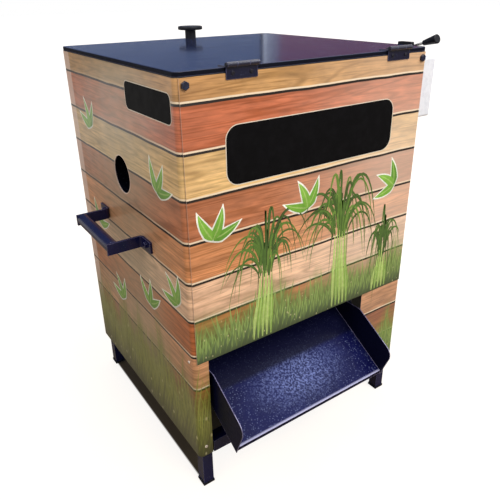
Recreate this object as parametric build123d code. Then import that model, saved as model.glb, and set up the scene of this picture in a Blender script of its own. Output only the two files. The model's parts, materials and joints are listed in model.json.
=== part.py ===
from build123d import *
import math
import os

# Sugarcane peeling machine: a sheet-metal cabinet on four legs, with a lid on top, a cane hole
# in each side, and a discharge tray in front. Millimetres, front towards -Y, cane along X.

# Cabinet
cabinet_width = 603.0
cabinet_depth = 579.0
lid_top_height = 915.0
sheet = 1.5
cut_past = 1.0
corner_radius = 12.0
panel_bottom = 103.0
left_return = 33.0
right_return = 138.0
back_return = 43.0
panel_margin = 7.0
front_panel_bottom = 352.0
front_flange = 12.0
vent_count = 9
vent_pitch = 16.0
vent_length = 110.0
vent_width = 6.0
vent_x = 120.0
vent_base = 185.0

# Legs and rails
leg_side = 25.0
leg_wall = 2.0
leg_inset = 11.5
foot_side = 28.0
foot_height = 8.0
foot_plug = 18.0
foot_chamfer = 2.0
plug_clearance = 0.25
rail_side = 30.0
rail_wall = 2.0
bottom_rail_base = 100.0
motor_rail_places = (95.0, 185.0)

# Lid, its seal, knob and hinges
lid_rim = 8.0
lid_sheet = 2.0
lid_hem = 14.0
lid_side_gap = 1.0
lid_edge_fillet = 1.5
seal_thickness = 1.5
seal_width = 10.0
knob_x = 36.0
knob_from_back = 20.0
knob_disc_radius = 32.0
knob_disc_thickness = 9.0
knob_post_radius = 14.0
knob_height = 31.0
knob_edge_fillet = 3.0
hinge_length = 63.5
hinge_places = (-176.0, 209.0)
leaf_thickness = 2.0
leaf_drop = 20.0
leaf_reach = 24.0
barrel_radius = 4.5
barrel_offset = 4.0
hinge_pin_radius = 2.0
pin_cap_radius = 3.4
pin_cap_length = 2.0
leaf_web = 5.0
running_clearance = 0.05
knuckle = 19.0
knuckle_gap = 0.5
swing_clearance = 0.5

# Screws and bolts
screw_head_radius = 3.6
screw_head_height = 1.6
screw_dome = 1.0
screw_shank_radius = 2.0
screw_clearance = 0.2
leaf_screw_inset = 13.0
bolt_head_radius = 7.5
bolt_head_height = 5.0
bolt_chamfer = 0.75
bolt_shank_radius = 4.0
shank_past_sheet = 2.0
screw_low_rise = 26.0
screw_upper_drop = 2.0
screw_from_bend = 8.0
bolt_from_edge = 10.0
bolt_below_top = 12.0

# Cane way
cane_y = -16.0
cane_height = 678.0
cane_diameter = 34.0
inlet_bore = 81.0
outlet_bore = 56.0
tube_wall = 2.0
tube_flange = 10.0
tube_flange_thickness = 2.0
inlet_tube_end = 25.0
outlet_tube_end = 8.0
tube_clearance = 0.3

# Brush drum and support roller, both below the cane
brush_diameter = 150.0
brush_core_diameter = 92.0
keyed_clearance = 0.02
brush_bite = 2.0
brush_strip_count = 12
brush_strip_thickness = 6.0
brush_strip_depth = 6.0
brush_strip_clearance = 0.1
support_diameter = 90.0
roller_gap = 6.0
roller_length = 320.0
roller_from_left_plate = 67.0
journal_radius = 8.0
shaft_radius = 10.0
block_height = 33.3
block_length = 108.0
block_width = 28.0
block_base = 13.0
block_housing_radius = 27.0
block_from_panel = 3.0
block_bolt_spacing = 84.0
shaft_short_of_block = 1.0

# Pressure roller on swing arms, and its hand lever
pressure_diameter = 60.0
pressure_angle = 45.0
pivot_y = -76.0
pivot_below_lid = 53.0
pivot_radius = 8.0
axle_radius = 8.0
arm_thickness = 8.0
arm_lobe_radius = 16.0
arm_gap = 7.0
axle_stub = 6.0
collar_gap = 1.0
bush_wall = 4.0
bush_length = 16.0
bush_flange = 5.0
bush_flange_thickness = 3.0
bush_seat_clearance = 0.1
lever_slope = 17.0
lever_hub_radius = 15.0
lever_hub_length = 20.0
lever_hub_gap = 3.0
lever_rod_radius = 3.0
lever_rod_length = 210.0
grip_length = 36.0
grip_start_radius = 5.5
grip_end_radius = 10.0
grip_socket = 12.0
grip_end_fillet = 2.0
lever_guide_length = 36.0
lever_guide_from_front = 46.0
lever_guide_thickness = 11.0
lever_guide_rise = 6.0
lever_guide_foot = 10.0
lever_guide_fillet = 2.0

# Motor, pulleys and belt
motor_y = 140.0
motor_shaft_height = 80.0
motor_radius = 66.0
motor_fin_depth = 9.0
motor_fin_thickness = 3.0
motor_fin_count = 28
motor_length = 190.0
motor_wall = 10.0
motor_end_wall = 14.0
motor_shaft_radius = 9.5
motor_core_gap = 2.0
motor_foot_width = 125.0
motor_foot_length = 30.0
motor_foot_thickness = 10.0
motor_bolt_spacing = 102.0
motor_base_thickness = 6.0
motor_base_margin = 12.0
motor_nose_gap = 12.0
cowl_length = 56.0
cowl_wall = 2.0
cowl_slot_count = 8
cowl_slot_width = 6.0
fan_radius = 54.0
fan_length = 22.0
fan_hub_radius = 18.0
fan_blade_count = 7
fan_blade_thickness = 3.0
fan_blade_root = 2.0
fan_cowl_gap = 4.0
motor_pulley_radius = 40.0
brush_pulley_radius = 55.0
pulley_width = 24.0
pulley_from_plate = 20.0
groove_top = 14.0
groove_bottom = 11.0
groove_depth = 9.0
belt_width = 10.2
belt_height = 8.0
belt_seat_gap = 0.4

# Chamber and discharge
plate_thickness = 1.5
plate_below_chute = 34.0
plate_below_lid = 5.0
chamber_from_left = 42.5
chute_slope = 30.3
lip_reach = 80.5
lip_height = 176.0
tray_wall_top = 310.0
tray_nose_reach = 111.5
tray_nose_height = 243.0
tray_nose_radius = 26.0
tray_inner_end = 95.0
tray_lip_drop = 8.0
tray_wall_below_floor = 12.0

# Carrying handles
handle_height = 553.5
handle_bar_height = 25.0
handle_bar_thickness = 5.0
handle_span = 194.0
handle_reach = 79.0
handle_ear = 43.0
handle_bend_radius = 5.0
handle_grip_radius = 14.0
handle_grip_wall = 2.5

# Switch box on the right panel
switch_width = 58.0
switch_tall = 130.0
switch_base_depth = 22.0
switch_cover_depth = 26.0
switch_wall = 2.0
switch_from_front = 13.0
switch_below_lid = 25.0
switch_corner = 5.0
breaker_width = 36.0
breaker_tall = 82.0
breaker_nose_tall = 45.0
breaker_nose_proud = 3.0
breaker_window_gap = 0.6
breaker_shoulder_gap = 2.0
toggle_drum_radius = 7.0
toggle_length = 14.0
toggle_width = 26.0
toggle_thickness = 5.0
toggle_rest_angle = -35.0
toggle_clearance = 0.4
gland_radius = 11.0
gland_length = 18.0
gland_body_radius = 8.8
gland_nut_height = 6.0
gland_hole_radius = 5.5
gland_bore = 5.0
gland_from_panel = 1.0

# Worked-out places
half_width = cabinet_width / 2
half_depth = cabinet_depth / 2
inner_width = half_width - sheet
inner_depth = half_depth - sheet
panel_top = lid_top_height - lid_rim - seal_thickness
leg_outer_x = half_width - leg_inset
leg_outer_y = half_depth - leg_inset
leg_inner_x = leg_outer_x - leg_side
leg_inner_y = leg_outer_y - leg_side
rail_inner_x = inner_width - rail_side
rail_inner_y = inner_depth - rail_side
front_face = -half_depth - sheet
opening_left = -half_width + left_return
opening_right = half_width - right_return
chamber_left = -half_width + chamber_from_left
panel_half = half_width - panel_margin
hinge_y = front_face - barrel_offset
hinge_z = lid_top_height + barrel_offset
plate_top = panel_top - plate_below_lid
pivot_z = lid_top_height - pivot_below_lid
switch_top = lid_top_height - switch_below_lid
switch_front = -half_depth + switch_from_front
guide_front = -half_depth + lever_guide_from_front

# The cane lies in the vee between the brush and the support roller.
brush_reach = (cane_diameter + brush_diameter) / 2 - brush_bite
support_reach = (cane_diameter + support_diameter) / 2
vee_base = (brush_diameter + support_diameter) / 2 + roller_gap
vee_brush = (brush_reach**2 - support_reach**2 + vee_base**2) / (2 * vee_base)
brush_y = cane_y - vee_brush
support_y = brush_y + vee_base
roller_z = cane_height - math.sqrt(brush_reach**2 - vee_brush**2)
pressure_reach = (cane_diameter + pressure_diameter) / 2
pressure_y = cane_y + pressure_reach * math.sin(math.radians(pressure_angle))
pressure_z = cane_height + pressure_reach * math.cos(math.radians(pressure_angle))
roller_left = chamber_left + roller_from_left_plate
roller_right = roller_left + roller_length
middle_rail_top = roller_z - block_height
motor_base_top = bottom_rail_base + rail_side + motor_base_thickness
motor_z = motor_base_top + motor_shaft_height
pulley_left = opening_right + plate_thickness + pulley_from_plate
pulley_middle = pulley_left + pulley_width / 2
motor_right = pulley_left - motor_nose_gap
motor_left = motor_right - motor_length


# Simple solids

def block(x, y, z):
    """A box between (low, high) pairs."""
    middle = Pos((x[0] + x[1]) / 2, (y[0] + y[1]) / 2, (z[0] + z[1]) / 2)
    return middle * Box(x[1] - x[0], y[1] - y[0], z[1] - z[0])


def bar_x(x, y, z, radius):
    return Pos((x[0] + x[1]) / 2, y, z) * Rot(0, 90, 0) * Cylinder(radius, x[1] - x[0])


def bar_y(x, y, z, radius):
    return Pos(x, (y[0] + y[1]) / 2, z) * Rot(90, 0, 0) * Cylinder(radius, y[1] - y[0])


def bar_z(x, y, z, radius):
    return Pos(x, y, (z[0] + z[1]) / 2) * Cylinder(radius, z[1] - z[0])


def side_shape(face, x):
    """A sketch drawn in Y and Z, made solid between two X places."""
    return extrude(Plane.YZ.offset(x[0]) * face, x[1] - x[0], dir=(1, 0, 0))


def outline(points):
    return Polygon(*points, align=None)


def turned_x(points, y, z):
    """A solid turned about an X line, from points of (x along the line, radius)."""
    face = make_face(Polyline(*points, close=True))
    return Pos(0, y, z) * revolve(face, Axis.X)


def group(solids):
    """Separate solids that share one node."""
    return Compound([shape.solid() for shape in solids])


parts = {}


# Frame

def leg(side_x, side_y):
    x = sorted((side_x * leg_inner_x, side_x * leg_outer_x))
    y = sorted((side_y * leg_inner_y, side_y * leg_outer_y))
    outside = block(x, y, (foot_height, panel_top))
    inside = block((x[0] + leg_wall, x[1] - leg_wall), (y[0] + leg_wall, y[1] - leg_wall), (0, panel_top))
    return outside - inside


def foot(side_x, side_y):
    x = side_x * (leg_inner_x + leg_outer_x) / 2
    y = side_y * (leg_inner_y + leg_outer_y) / 2
    plug_side = leg_side - 2 * leg_wall - 2 * plug_clearance
    pad = Pos(x, y, foot_height / 2) * Box(foot_side, foot_side, foot_height)
    pad = chamfer(pad.edges().group_by(Axis.Z)[0], foot_chamfer)
    plug = Pos(x, y, foot_height + foot_plug / 2) * Box(plug_side, plug_side, foot_plug)
    return pad + plug


def rail(x, y, z, along):
    """A square tube rail, open at its ends."""
    places = {"x": x, "y": y, "z": z}
    inside = {}
    for name, span in places.items():
        shrink = 0 if name == along else rail_wall
        inside[name] = (span[0] + shrink, span[1] - shrink)
    return block(x, y, z) - block(inside["x"], inside["y"], inside["z"])


def rail_ring(base):
    """Front, back, left and right rails between the legs, outer faces against the panels."""
    height = (base, base + rail_side)
    rails = []
    for side in (-1, 1):
        y = sorted((side * rail_inner_y, side * inner_depth))
        rails.append(rail((-leg_inner_x, leg_inner_x), y, height, "x"))
        x = sorted((side * rail_inner_x, side * inner_width))
        rails.append(rail(x, (-leg_inner_y, leg_inner_y), height, "y"))
    return rails


corner_names = {(-1, -1): "front_left", (1, -1): "front_right", (-1, 1): "back_left", (1, 1): "back_right"}
for (side_x, side_y), corner in corner_names.items():
    parts["leg_" + corner] = leg(side_x, side_y)
parts["leg_feet"] = group(foot(*corner) for corner in corner_names)
parts["top_rails"] = group(rail_ring(panel_top - rail_side))
parts["middle_rails"] = group(rail_ring(middle_rail_top - rail_side))
parts["bottom_rails"] = group(rail_ring(bottom_rail_base))
motor_rail_height = (bottom_rail_base, bottom_rail_base + rail_side)
parts["motor_rails"] = group(
    rail((-rail_inner_x, rail_inner_x), (y - rail_side / 2, y + rail_side / 2), motor_rail_height, "x")
    for y in motor_rail_places
)


# Screws and the holes that they need

def pan_head(radius, height, dome, shank_radius, shank_length):
    """A low domed head on the plane z=0, with its shank below."""
    head = Pos(0, 0, height / 2) * Cylinder(radius, height)
    head = fillet(head.edges().group_by(Axis.Z)[-1], dome)
    return head + Pos(0, 0, -shank_length / 2) * Cylinder(shank_radius, shank_length)


def facing(place, direction):
    """The location whose z axis points out of a surface."""
    return Location(Plane(origin=place, z_dir=direction))


def screw_at(place, direction, length):
    screw = pan_head(screw_head_radius, screw_head_height, screw_dome, screw_shank_radius, length)
    return facing(place, direction) * screw


def bolt_at(place, direction, length):
    head = extrude(RegularPolygon(bolt_head_radius, 6), bolt_head_height)
    head = chamfer(head.edges().group_by(Axis.Z)[-1], bolt_chamfer)
    bolt = head + Pos(0, 0, -length / 2) * Cylinder(bolt_shank_radius, length)
    return facing(place, direction) * bolt


def hole_at(place, direction, radius):
    depth = 2 * (sheet + shank_past_sheet)
    return facing(place, direction) * Cylinder(radius, depth)


out_left = (-1, 0, 0)
out_right = (1, 0, 0)
out_front = (0, -1, 0)
out_back = (0, 1, 0)
strip_screw_x = half_width - left_return / 2
screw_low = panel_bottom + screw_low_rise
screw_upper = front_panel_bottom - screw_upper_drop
side_screw_y = half_depth - corner_radius - screw_from_bend
front_bolt_x = panel_half - bolt_from_edge
front_bolt_z = panel_top - bolt_below_top
panel_screw_length = sheet + shank_past_sheet
panel_screw_places = [
    ((-half_width, -side_screw_y, screw_upper), out_left),
    ((-half_width, side_screw_y, screw_upper), out_left),
    ((half_width, -side_screw_y, screw_upper), out_right),
    ((half_width, side_screw_y, screw_upper), out_right),
    ((-strip_screw_x, -half_depth, screw_low), out_front),
    ((strip_screw_x, -half_depth, screw_low), out_front),
]
front_bolt_places = [((side * front_bolt_x, front_face, front_bolt_z), out_front) for side in (-1, 1)]
back_bolt_places = [
    ((side * front_bolt_x, -front_face, z), out_back)
    for side in (-1, 1)
    for z in (front_bolt_z, screw_upper, screw_low)
]
panel_bolt_places = front_bolt_places + back_bolt_places
panel_bolt_length = 2 * sheet + shank_past_sheet


def with_screw_holes(panel):
    for place, direction in panel_screw_places:
        panel -= hole_at(place, direction, screw_shank_radius + screw_clearance)
    for place, direction in panel_bolt_places:
        panel -= hole_at(place, direction, bolt_shank_radius + screw_clearance)
    return panel


parts["panel_screws"] = group(
    [screw_at(place, direction, panel_screw_length) for place, direction in panel_screw_places]
    + [bolt_at(place, direction, panel_bolt_length) for place, direction in panel_bolt_places]
)


# Panels

def wrapper(low, high):
    """The bent sheet round the whole cabinet, before it is split into panels."""
    outer = RectangleRounded(cabinet_width, cabinet_depth, corner_radius)
    inner = RectangleRounded(2 * inner_width, 2 * inner_depth, corner_radius - sheet)
    return Pos(0, 0, low) * extrude(outer - inner, high - low)


handle_screw_y = handle_span / 2 + handle_ear / 2
tall = (panel_bottom, panel_top)
ring = wrapper(*tall)
left_part = ring & block((-half_width, opening_left), (-half_depth, half_depth), tall)
left_part -= bar_x((-half_width, 0), cane_y, cane_height, inlet_bore / 2)
parts["left_panel"] = with_screw_holes(left_part)

right_front = block((opening_right, half_width), (-half_depth, 0), tall)
right_back = block((half_width - back_return, half_width), (0, half_depth), tall)
right_part = (ring & right_front) + (ring & right_back)
right_part -= bar_x((0, half_width), cane_y, cane_height, outlet_bore / 2)
right_part -= bar_x((0, half_width), pivot_y, pivot_z, pivot_radius + bush_wall + bush_seat_clearance)
parts["right_panel"] = with_screw_holes(right_part)

front_tall = (front_panel_bottom, panel_top)
front_part = block((-panel_half, panel_half), (front_face, -half_depth), front_tall)
front_part += block(
    (opening_left, opening_right),
    (front_face, front_face + front_flange),
    (front_panel_bottom, front_panel_bottom + sheet),
)
parts["front_panel"] = with_screw_holes(front_part)

back_part = block((-panel_half, panel_half), (half_depth, -front_face), tall)
for i in range(vent_count):
    slot = Pos(vent_x, half_depth, vent_base + i * vent_pitch) * Rot(90, 0, 0)
    back_part -= slot * extrude(SlotOverall(vent_length, vent_width), sheet + cut_past, both=True)
parts["back_panel"] = with_screw_holes(back_part)


# Chamber plates and cane tubes

slope = math.tan(math.radians(chute_slope))
lip_y = -half_depth - lip_reach


def chute_z(y):
    """Height of the discharge slope's upper face."""
    return lip_height + slope * (y - lip_y)


def chamber_plate(x):
    corners = [
        (-rail_inner_y, chute_z(-rail_inner_y) - plate_below_chute),
        (rail_inner_y, chute_z(rail_inner_y) - plate_below_chute),
        (rail_inner_y, plate_top),
        (-rail_inner_y, plate_top),
    ]
    plate = side_shape(outline(corners), x)
    bush_hole = bush_wall + bush_seat_clearance
    plate -= bar_x(x, pivot_y, pivot_z, pivot_radius + bush_hole)
    plate -= bar_x(x, support_y, roller_z, journal_radius + bush_hole)
    plate -= bar_x(x, brush_y, roller_z, shaft_radius + bush_wall)
    return plate


left_plate_x = (chamber_left - plate_thickness, chamber_left)
right_plate_x = (opening_right, opening_right + plate_thickness)
inlet_outer = inlet_bore / 2 + tube_wall
outlet_outer = outlet_bore / 2 + tube_wall
parts["chamber_left_plate"] = chamber_plate(left_plate_x) - bar_x(
    left_plate_x, cane_y, cane_height, inlet_outer + tube_clearance
)
parts["chamber_right_plate"] = chamber_plate(right_plate_x) - bar_x(
    right_plate_x, cane_y, cane_height, outlet_outer + tube_clearance
)


def guide_tube(panel_x, end_x, bore):
    """A tube from a panel's inner face into the chamber, with a flange on the panel."""
    outer = bore / 2 + tube_wall
    inward = math.copysign(tube_flange_thickness, end_x - panel_x)
    tube = bar_x(sorted((panel_x, end_x)), cane_y, cane_height, outer)
    tube += bar_x(sorted((panel_x, panel_x + inward)), cane_y, cane_height, outer + tube_flange)
    return tube - bar_x(sorted((panel_x, end_x)), cane_y, cane_height, bore / 2)


parts["inlet_tube"] = guide_tube(-inner_width, chamber_left + inlet_tube_end, inlet_bore)
parts["outlet_tube"] = guide_tube(inner_width, opening_right - outlet_tube_end, outlet_bore)


# Discharge tray and the chute behind it

chute_inner_y = -half_depth + tray_inner_end
nose_y = -half_depth - tray_nose_reach


def sloped_sheet(x, front_y, back_y):
    drop = sheet / math.cos(math.radians(chute_slope))
    corners = [
        (front_y, chute_z(front_y)),
        (back_y, chute_z(back_y)),
        (back_y, chute_z(back_y) - drop),
        (front_y, chute_z(front_y) - drop),
    ]
    return side_shape(outline(corners), x)


def tray_wall(x):
    wall_foot_y = lip_y
    corners = [
        (wall_foot_y, lip_height - tray_wall_below_floor),
        (chute_inner_y, chute_z(chute_inner_y) - tray_wall_below_floor),
        (chute_inner_y, tray_wall_top),
        (-half_depth, tray_wall_top),
        (nose_y, tray_nose_height),
    ]
    wall = side_shape(outline(corners), x)
    nose = wall.edges().filter_by(Axis.X).group_by(Axis.Y)[0]
    return fillet(nose, tray_nose_radius)


tray = sloped_sheet((chamber_left, opening_right), lip_y, chute_inner_y)
tray += tray_wall((chamber_left, chamber_left + sheet))
tray += tray_wall((opening_right - sheet, opening_right))
tray += block(
    (chamber_left, opening_right),
    (lip_y, lip_y + sheet),
    (lip_height - tray_lip_drop, lip_height),
)
parts["discharge_tray"] = tray
chute_back = block(
    (chamber_left, opening_right),
    (rail_inner_y - sheet, rail_inner_y),
    (chute_z(rail_inner_y) - sheet, middle_rail_top),
)
parts["inner_chute"] = sloped_sheet((chamber_left, opening_right), chute_inner_y, rail_inner_y) + chute_back


# Lid with its seal, knob and hinges

lid_width = cabinet_width - 2 * lid_side_gap
lid_corner = corner_radius - lid_side_gap
lid_base = lid_top_height - lid_rim
lid = Pos(0, 0, lid_base) * extrude(RectangleRounded(lid_width, cabinet_depth, lid_corner), lid_rim)
lid = fillet(lid.edges().group_by(Axis.Z)[-1], lid_edge_fillet)
pocket = Rectangle(lid_width - 2 * lid_hem, cabinet_depth - 2 * lid_hem)
parts["lid"] = lid - Pos(0, 0, lid_base) * extrude(pocket, lid_rim - lid_sheet)
seal_ring = RectangleRounded(lid_width, cabinet_depth, lid_corner)
seal_ring -= RectangleRounded(
    lid_width - 2 * seal_width, cabinet_depth - 2 * seal_width, lid_corner - seal_width
)
parts["lid_seal"] = Pos(0, 0, panel_top) * extrude(seal_ring, seal_thickness)

knob_y = half_depth - knob_from_back
disc_base = lid_top_height + knob_height - knob_disc_thickness
disc = bar_z(knob_x, knob_y, (disc_base, disc_base + knob_disc_thickness), knob_disc_radius)
disc = fillet(disc.edges().filter_by(GeomType.CIRCLE), knob_edge_fillet)
parts["lid_knob"] = disc + bar_z(knob_x, knob_y, (lid_top_height, disc_base), knob_post_radius)


def knuckle_spans(x, lid_side):
    """The lid leaf's middle knuckle, or the front leaf's two end knuckles."""
    low = x - hinge_length / 2
    high = x + hinge_length / 2
    if lid_side:
        return [(low + knuckle + knuckle_gap, high - knuckle - knuckle_gap)]
    return [(low, low + knuckle), (high - knuckle, high)]


def leaf_screw_places(x, lid_side):
    places = []
    for side in (-1, 1):
        at_x = x + side * (hinge_length / 2 - leaf_screw_inset)
        if lid_side:
            places.append(((at_x, front_face + leaf_reach / 2, lid_top_height + leaf_thickness), (0, 0, 1)))
        else:
            leaf_middle = lid_top_height - leaf_drop / 2
            places.append(((at_x, front_face - leaf_thickness, leaf_middle), out_front))
    return places


def hinge_leaf(x, lid_side):
    """A leaf plate with its knuckles, on the lid's top or on the front panel."""
    span = (x - hinge_length / 2, x + hinge_length / 2)
    on_lid = (lid_top_height, lid_top_height + leaf_thickness)
    on_front = (front_face - leaf_thickness, front_face)
    if lid_side:
        leaf = block(span, (front_face + swing_clearance, front_face + leaf_reach), on_lid)
    else:
        leaf = block(span, on_front, (lid_top_height - leaf_drop, lid_top_height - swing_clearance))
    screw_hole = Cylinder(screw_shank_radius + screw_clearance, 2 * leaf_thickness + cut_past)
    for place, direction in leaf_screw_places(x, lid_side):
        leaf -= facing(place, direction) * screw_hole
    for knuckle_span in knuckle_spans(x, not lid_side):
        grown = (knuckle_span[0] - knuckle_gap, knuckle_span[1] + knuckle_gap)
        leaf -= bar_x(grown, hinge_y, hinge_z, barrel_radius + swing_clearance)
    for knuckle_span in knuckle_spans(x, lid_side):
        if lid_side:
            leaf += block(knuckle_span, (hinge_y, front_face + leaf_web), on_lid)
        else:
            leaf += block(knuckle_span, on_front, (lid_top_height - leaf_web, hinge_z))
        leaf += bar_x(knuckle_span, hinge_y, hinge_z, barrel_radius)
    return leaf - bar_x(span, hinge_y, hinge_z, hinge_pin_radius + running_clearance)


def hinge_pin(x):
    span = (x - hinge_length / 2, x + hinge_length / 2)
    pin = bar_x(span, hinge_y, hinge_z, hinge_pin_radius)
    for side in (-1, 1):
        end = x + side * hinge_length / 2
        cap = sorted((end, end + side * pin_cap_length))
        pin += bar_x(cap, hinge_y, hinge_z, pin_cap_radius)
    return pin


parts["hinge_front_leaves"] = group(hinge_leaf(x, False) for x in hinge_places)
parts["hinge_lid_leaves"] = group(hinge_leaf(x, True) for x in hinge_places)
parts["hinge_pins"] = group(hinge_pin(x) for x in hinge_places)
for node, lid_side in (("hinge_front_screws", False), ("hinge_lid_screws", True)):
    parts[node] = group(
        screw_at(place, direction, leaf_thickness)
        for x in hinge_places
        for place, direction in leaf_screw_places(x, lid_side)
    )


# Carrying handles

def handle(side):
    """Two bent flat bars with ears on the panel, and a pipe grip between them."""
    height = (handle_height - handle_bar_height / 2, handle_height + handle_bar_height / 2)
    panel_x = side * half_width
    out_x = side * (half_width + handle_reach)
    grip_x = side * (half_width + handle_reach - handle_grip_radius)
    arm_inner = handle_span / 2 - handle_bar_thickness
    grip = bar_y(grip_x, (-arm_inner, arm_inner), handle_height, handle_grip_radius)
    grip -= bar_y(grip_x, (-arm_inner, arm_inner), handle_height, handle_grip_radius - handle_grip_wall)
    for end in (-1, 1):
        arm_y = sorted((end * arm_inner, end * handle_span / 2))
        bar = block(sorted((panel_x, out_x)), arm_y, height)
        ear_y = sorted((end * arm_inner, end * (handle_span / 2 + handle_ear)))
        bar += block(sorted((panel_x, panel_x + side * handle_bar_thickness)), ear_y, height)
        inside_bend = (panel_x + side * handle_bar_thickness, end * handle_span / 2, handle_height)
        bar = fillet(bar.edges().filter_by(Axis.Z).sort_by_distance(inside_bend)[:1], handle_bend_radius)
        outside_bend = (panel_x, end * arm_inner, handle_height)
        bend = handle_bend_radius + handle_bar_thickness
        bar = fillet(bar.edges().filter_by(Axis.Z).sort_by_distance(outside_bend)[:1], bend)
        bolt_hole = bolt_shank_radius + screw_clearance
        bar -= bar_x(sorted((panel_x, out_x)), end * handle_screw_y, handle_height, bolt_hole)
        grip += bar
    return grip


parts["left_handle"] = handle(-1)
parts["right_handle"] = handle(1)
parts["handle_bolts"] = group(
    bolt_at((side * (half_width + handle_bar_thickness), end * handle_screw_y, handle_height), (side, 0, 0),
            handle_bar_thickness)
    for side in (-1, 1)
    for end in (-1, 1)
)


# Brush drum

block_x = inner_width - block_from_panel - block_width / 2
shaft_end = block_x + block_width / 2 - shaft_short_of_block
parts["brush_shaft"] = bar_x((-shaft_end, shaft_end), brush_y, roller_z, shaft_radius)
roller_span = (roller_left, roller_right)
core = bar_x(roller_span, brush_y, roller_z, brush_core_diameter / 2)
core -= bar_x(roller_span, brush_y, roller_z, shaft_radius + keyed_clearance)
strip_root = brush_core_diameter / 2 - brush_strip_depth


def at_brush(angle):
    return Pos(0, brush_y, roller_z) * Rot(angle, 0, 0)


def strip_box(grow):
    """One brush strip, standing up from a slot in the core."""
    half = brush_strip_thickness / 2 + grow
    return block(roller_span, (-half, half), (strip_root - grow, brush_diameter / 2))


strip_angles = [i * 360 / brush_strip_count for i in range(brush_strip_count)]
for angle in strip_angles:
    core -= at_brush(angle) * strip_box(brush_strip_clearance)
parts["brush_core"] = core
parts["brush_strips"] = group(at_brush(angle) * strip_box(0) for angle in strip_angles)


block_bolt_places = [
    (side_x * block_x, brush_y + side_y * block_bolt_spacing / 2, middle_rail_top + block_base)
    for side_x in (-1, 1)
    for side_y in (-1, 1)
]
upward = (0, 0, 1)


def pillow_block(x):
    """A bearing housing on a foot that is bolted to the middle rail."""
    span = (x - block_width / 2, x + block_width / 2)
    base = block(span, (brush_y - block_length / 2, brush_y + block_length / 2),
                 (middle_rail_top, middle_rail_top + block_base))
    bolt_hole = Cylinder(bolt_shank_radius + screw_clearance, 2 * block_base + cut_past)
    for place in block_bolt_places:
        base -= facing(place, upward) * bolt_hole
    body = bar_x(span, brush_y, roller_z, block_housing_radius)
    body += block(span, (brush_y - block_housing_radius, brush_y + block_housing_radius),
                  (middle_rail_top, roller_z))
    return base + body - bar_x(span, brush_y, roller_z, shaft_radius + running_clearance)


parts["pillow_blocks"] = group(pillow_block(side * block_x) for side in (-1, 1))


def pulley(x, y, z, radius, bore):
    """A grooved pulley centred at one X place."""
    half = pulley_width / 2
    points = [
        (x - half, bore),
        (x + half, bore),
        (x + half, radius),
        (x + groove_top / 2, radius),
        (x + groove_bottom / 2, radius - groove_depth),
        (x - groove_bottom / 2, radius - groove_depth),
        (x - groove_top / 2, radius),
        (x - half, radius),
    ]
    return turned_x(points, y, z)


parts["brush_pulley"] = pulley(pulley_middle, brush_y, roller_z, brush_pulley_radius,
                               shaft_radius + keyed_clearance)
parts["motor_pulley"] = pulley(pulley_middle, motor_y, motor_z, motor_pulley_radius,
                               motor_shaft_radius + keyed_clearance)


def belt_loop(grow):
    """The outline round both pulleys, grown from their groove floors."""
    low = (motor_y, motor_z, motor_pulley_radius - groove_depth + grow)
    high = (brush_y, roller_z, brush_pulley_radius - groove_depth + grow)
    along = math.atan2(high[1] - low[1], high[0] - low[0])
    distance = math.hypot(high[0] - low[0], high[1] - low[1])
    turn = math.acos((low[2] - high[2]) / distance)
    corners = []
    for (y, z, radius), signs in ((low, (1, -1)), (high, (-1, 1))):
        for sign in signs:
            angle = along + sign * turn
            corners.append((y + radius * math.cos(angle), z + radius * math.sin(angle)))
    loop = outline(corners)
    for y, z, radius in (low, high):
        loop += Pos(y, z) * Circle(radius)
    return loop


belt_face = belt_loop(belt_seat_gap + belt_height) - belt_loop(belt_seat_gap)
belt_span = (pulley_middle - belt_width / 2, pulley_middle + belt_width / 2)
parts["drive_belt"] = side_shape(belt_face, belt_span)


# Support roller, pressure roller and their bearings

def bush(x, y, z, radius, facing_side):
    """A flanged bush through a sheet at x, its flange on the side that faces inwards."""
    bore = radius + running_clearance
    flange_face = x + facing_side * bush_flange_thickness
    span = sorted((flange_face, flange_face - facing_side * bush_length))
    shape = bar_x(span, y, z, radius + bush_wall)
    shape += bar_x(sorted((x, flange_face)), y, z, radius + bush_wall + bush_flange)
    return shape - bar_x(span, y, z, bore)


journal_end = bush_length - bush_flange_thickness
support_span = (chamber_left - journal_end, opening_right + journal_end)
parts["support_shaft"] = bar_x(support_span, support_y, roller_z, journal_radius)
support = bar_x(roller_span, support_y, roller_z, support_diameter / 2)
support -= bar_x(roller_span, support_y, roller_z, journal_radius + keyed_clearance)
parts["support_roller"] = support
parts["roller_bushes"] = group([
    bush(chamber_left, support_y, roller_z, journal_radius, 1),
    bush(opening_right, support_y, roller_z, journal_radius, -1),
])
parts["pivot_bushes"] = group([
    bush(chamber_left, pivot_y, pivot_z, pivot_radius, 1),
    bush(opening_right, pivot_y, pivot_z, pivot_radius, -1),
    bush(half_width, pivot_y, pivot_z, pivot_radius, 1),
])
pressure = bar_x(roller_span, pressure_y, pressure_z, pressure_diameter / 2)
pressure -= bar_x(roller_span, pressure_y, pressure_z, axle_radius + running_clearance)
parts["pressure_roller"] = pressure

left_arm_x = (roller_left - arm_gap - arm_thickness, roller_left - arm_gap)
right_arm_x = (roller_right + arm_gap, roller_right + arm_gap + arm_thickness)
axle_span = (left_arm_x[0] - axle_stub, right_arm_x[1] + axle_stub)
axle = bar_x(axle_span, pressure_y, pressure_z, axle_radius)
collar_radius = axle_radius + bush_wall
for inner, outer in ((roller_left, left_arm_x[1]), (roller_right, right_arm_x[0])):
    gap = math.copysign(collar_gap, outer - inner)
    axle += bar_x(sorted((inner + gap, outer)), pressure_y, pressure_z, collar_radius)
parts["pressure_axle"] = axle


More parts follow.
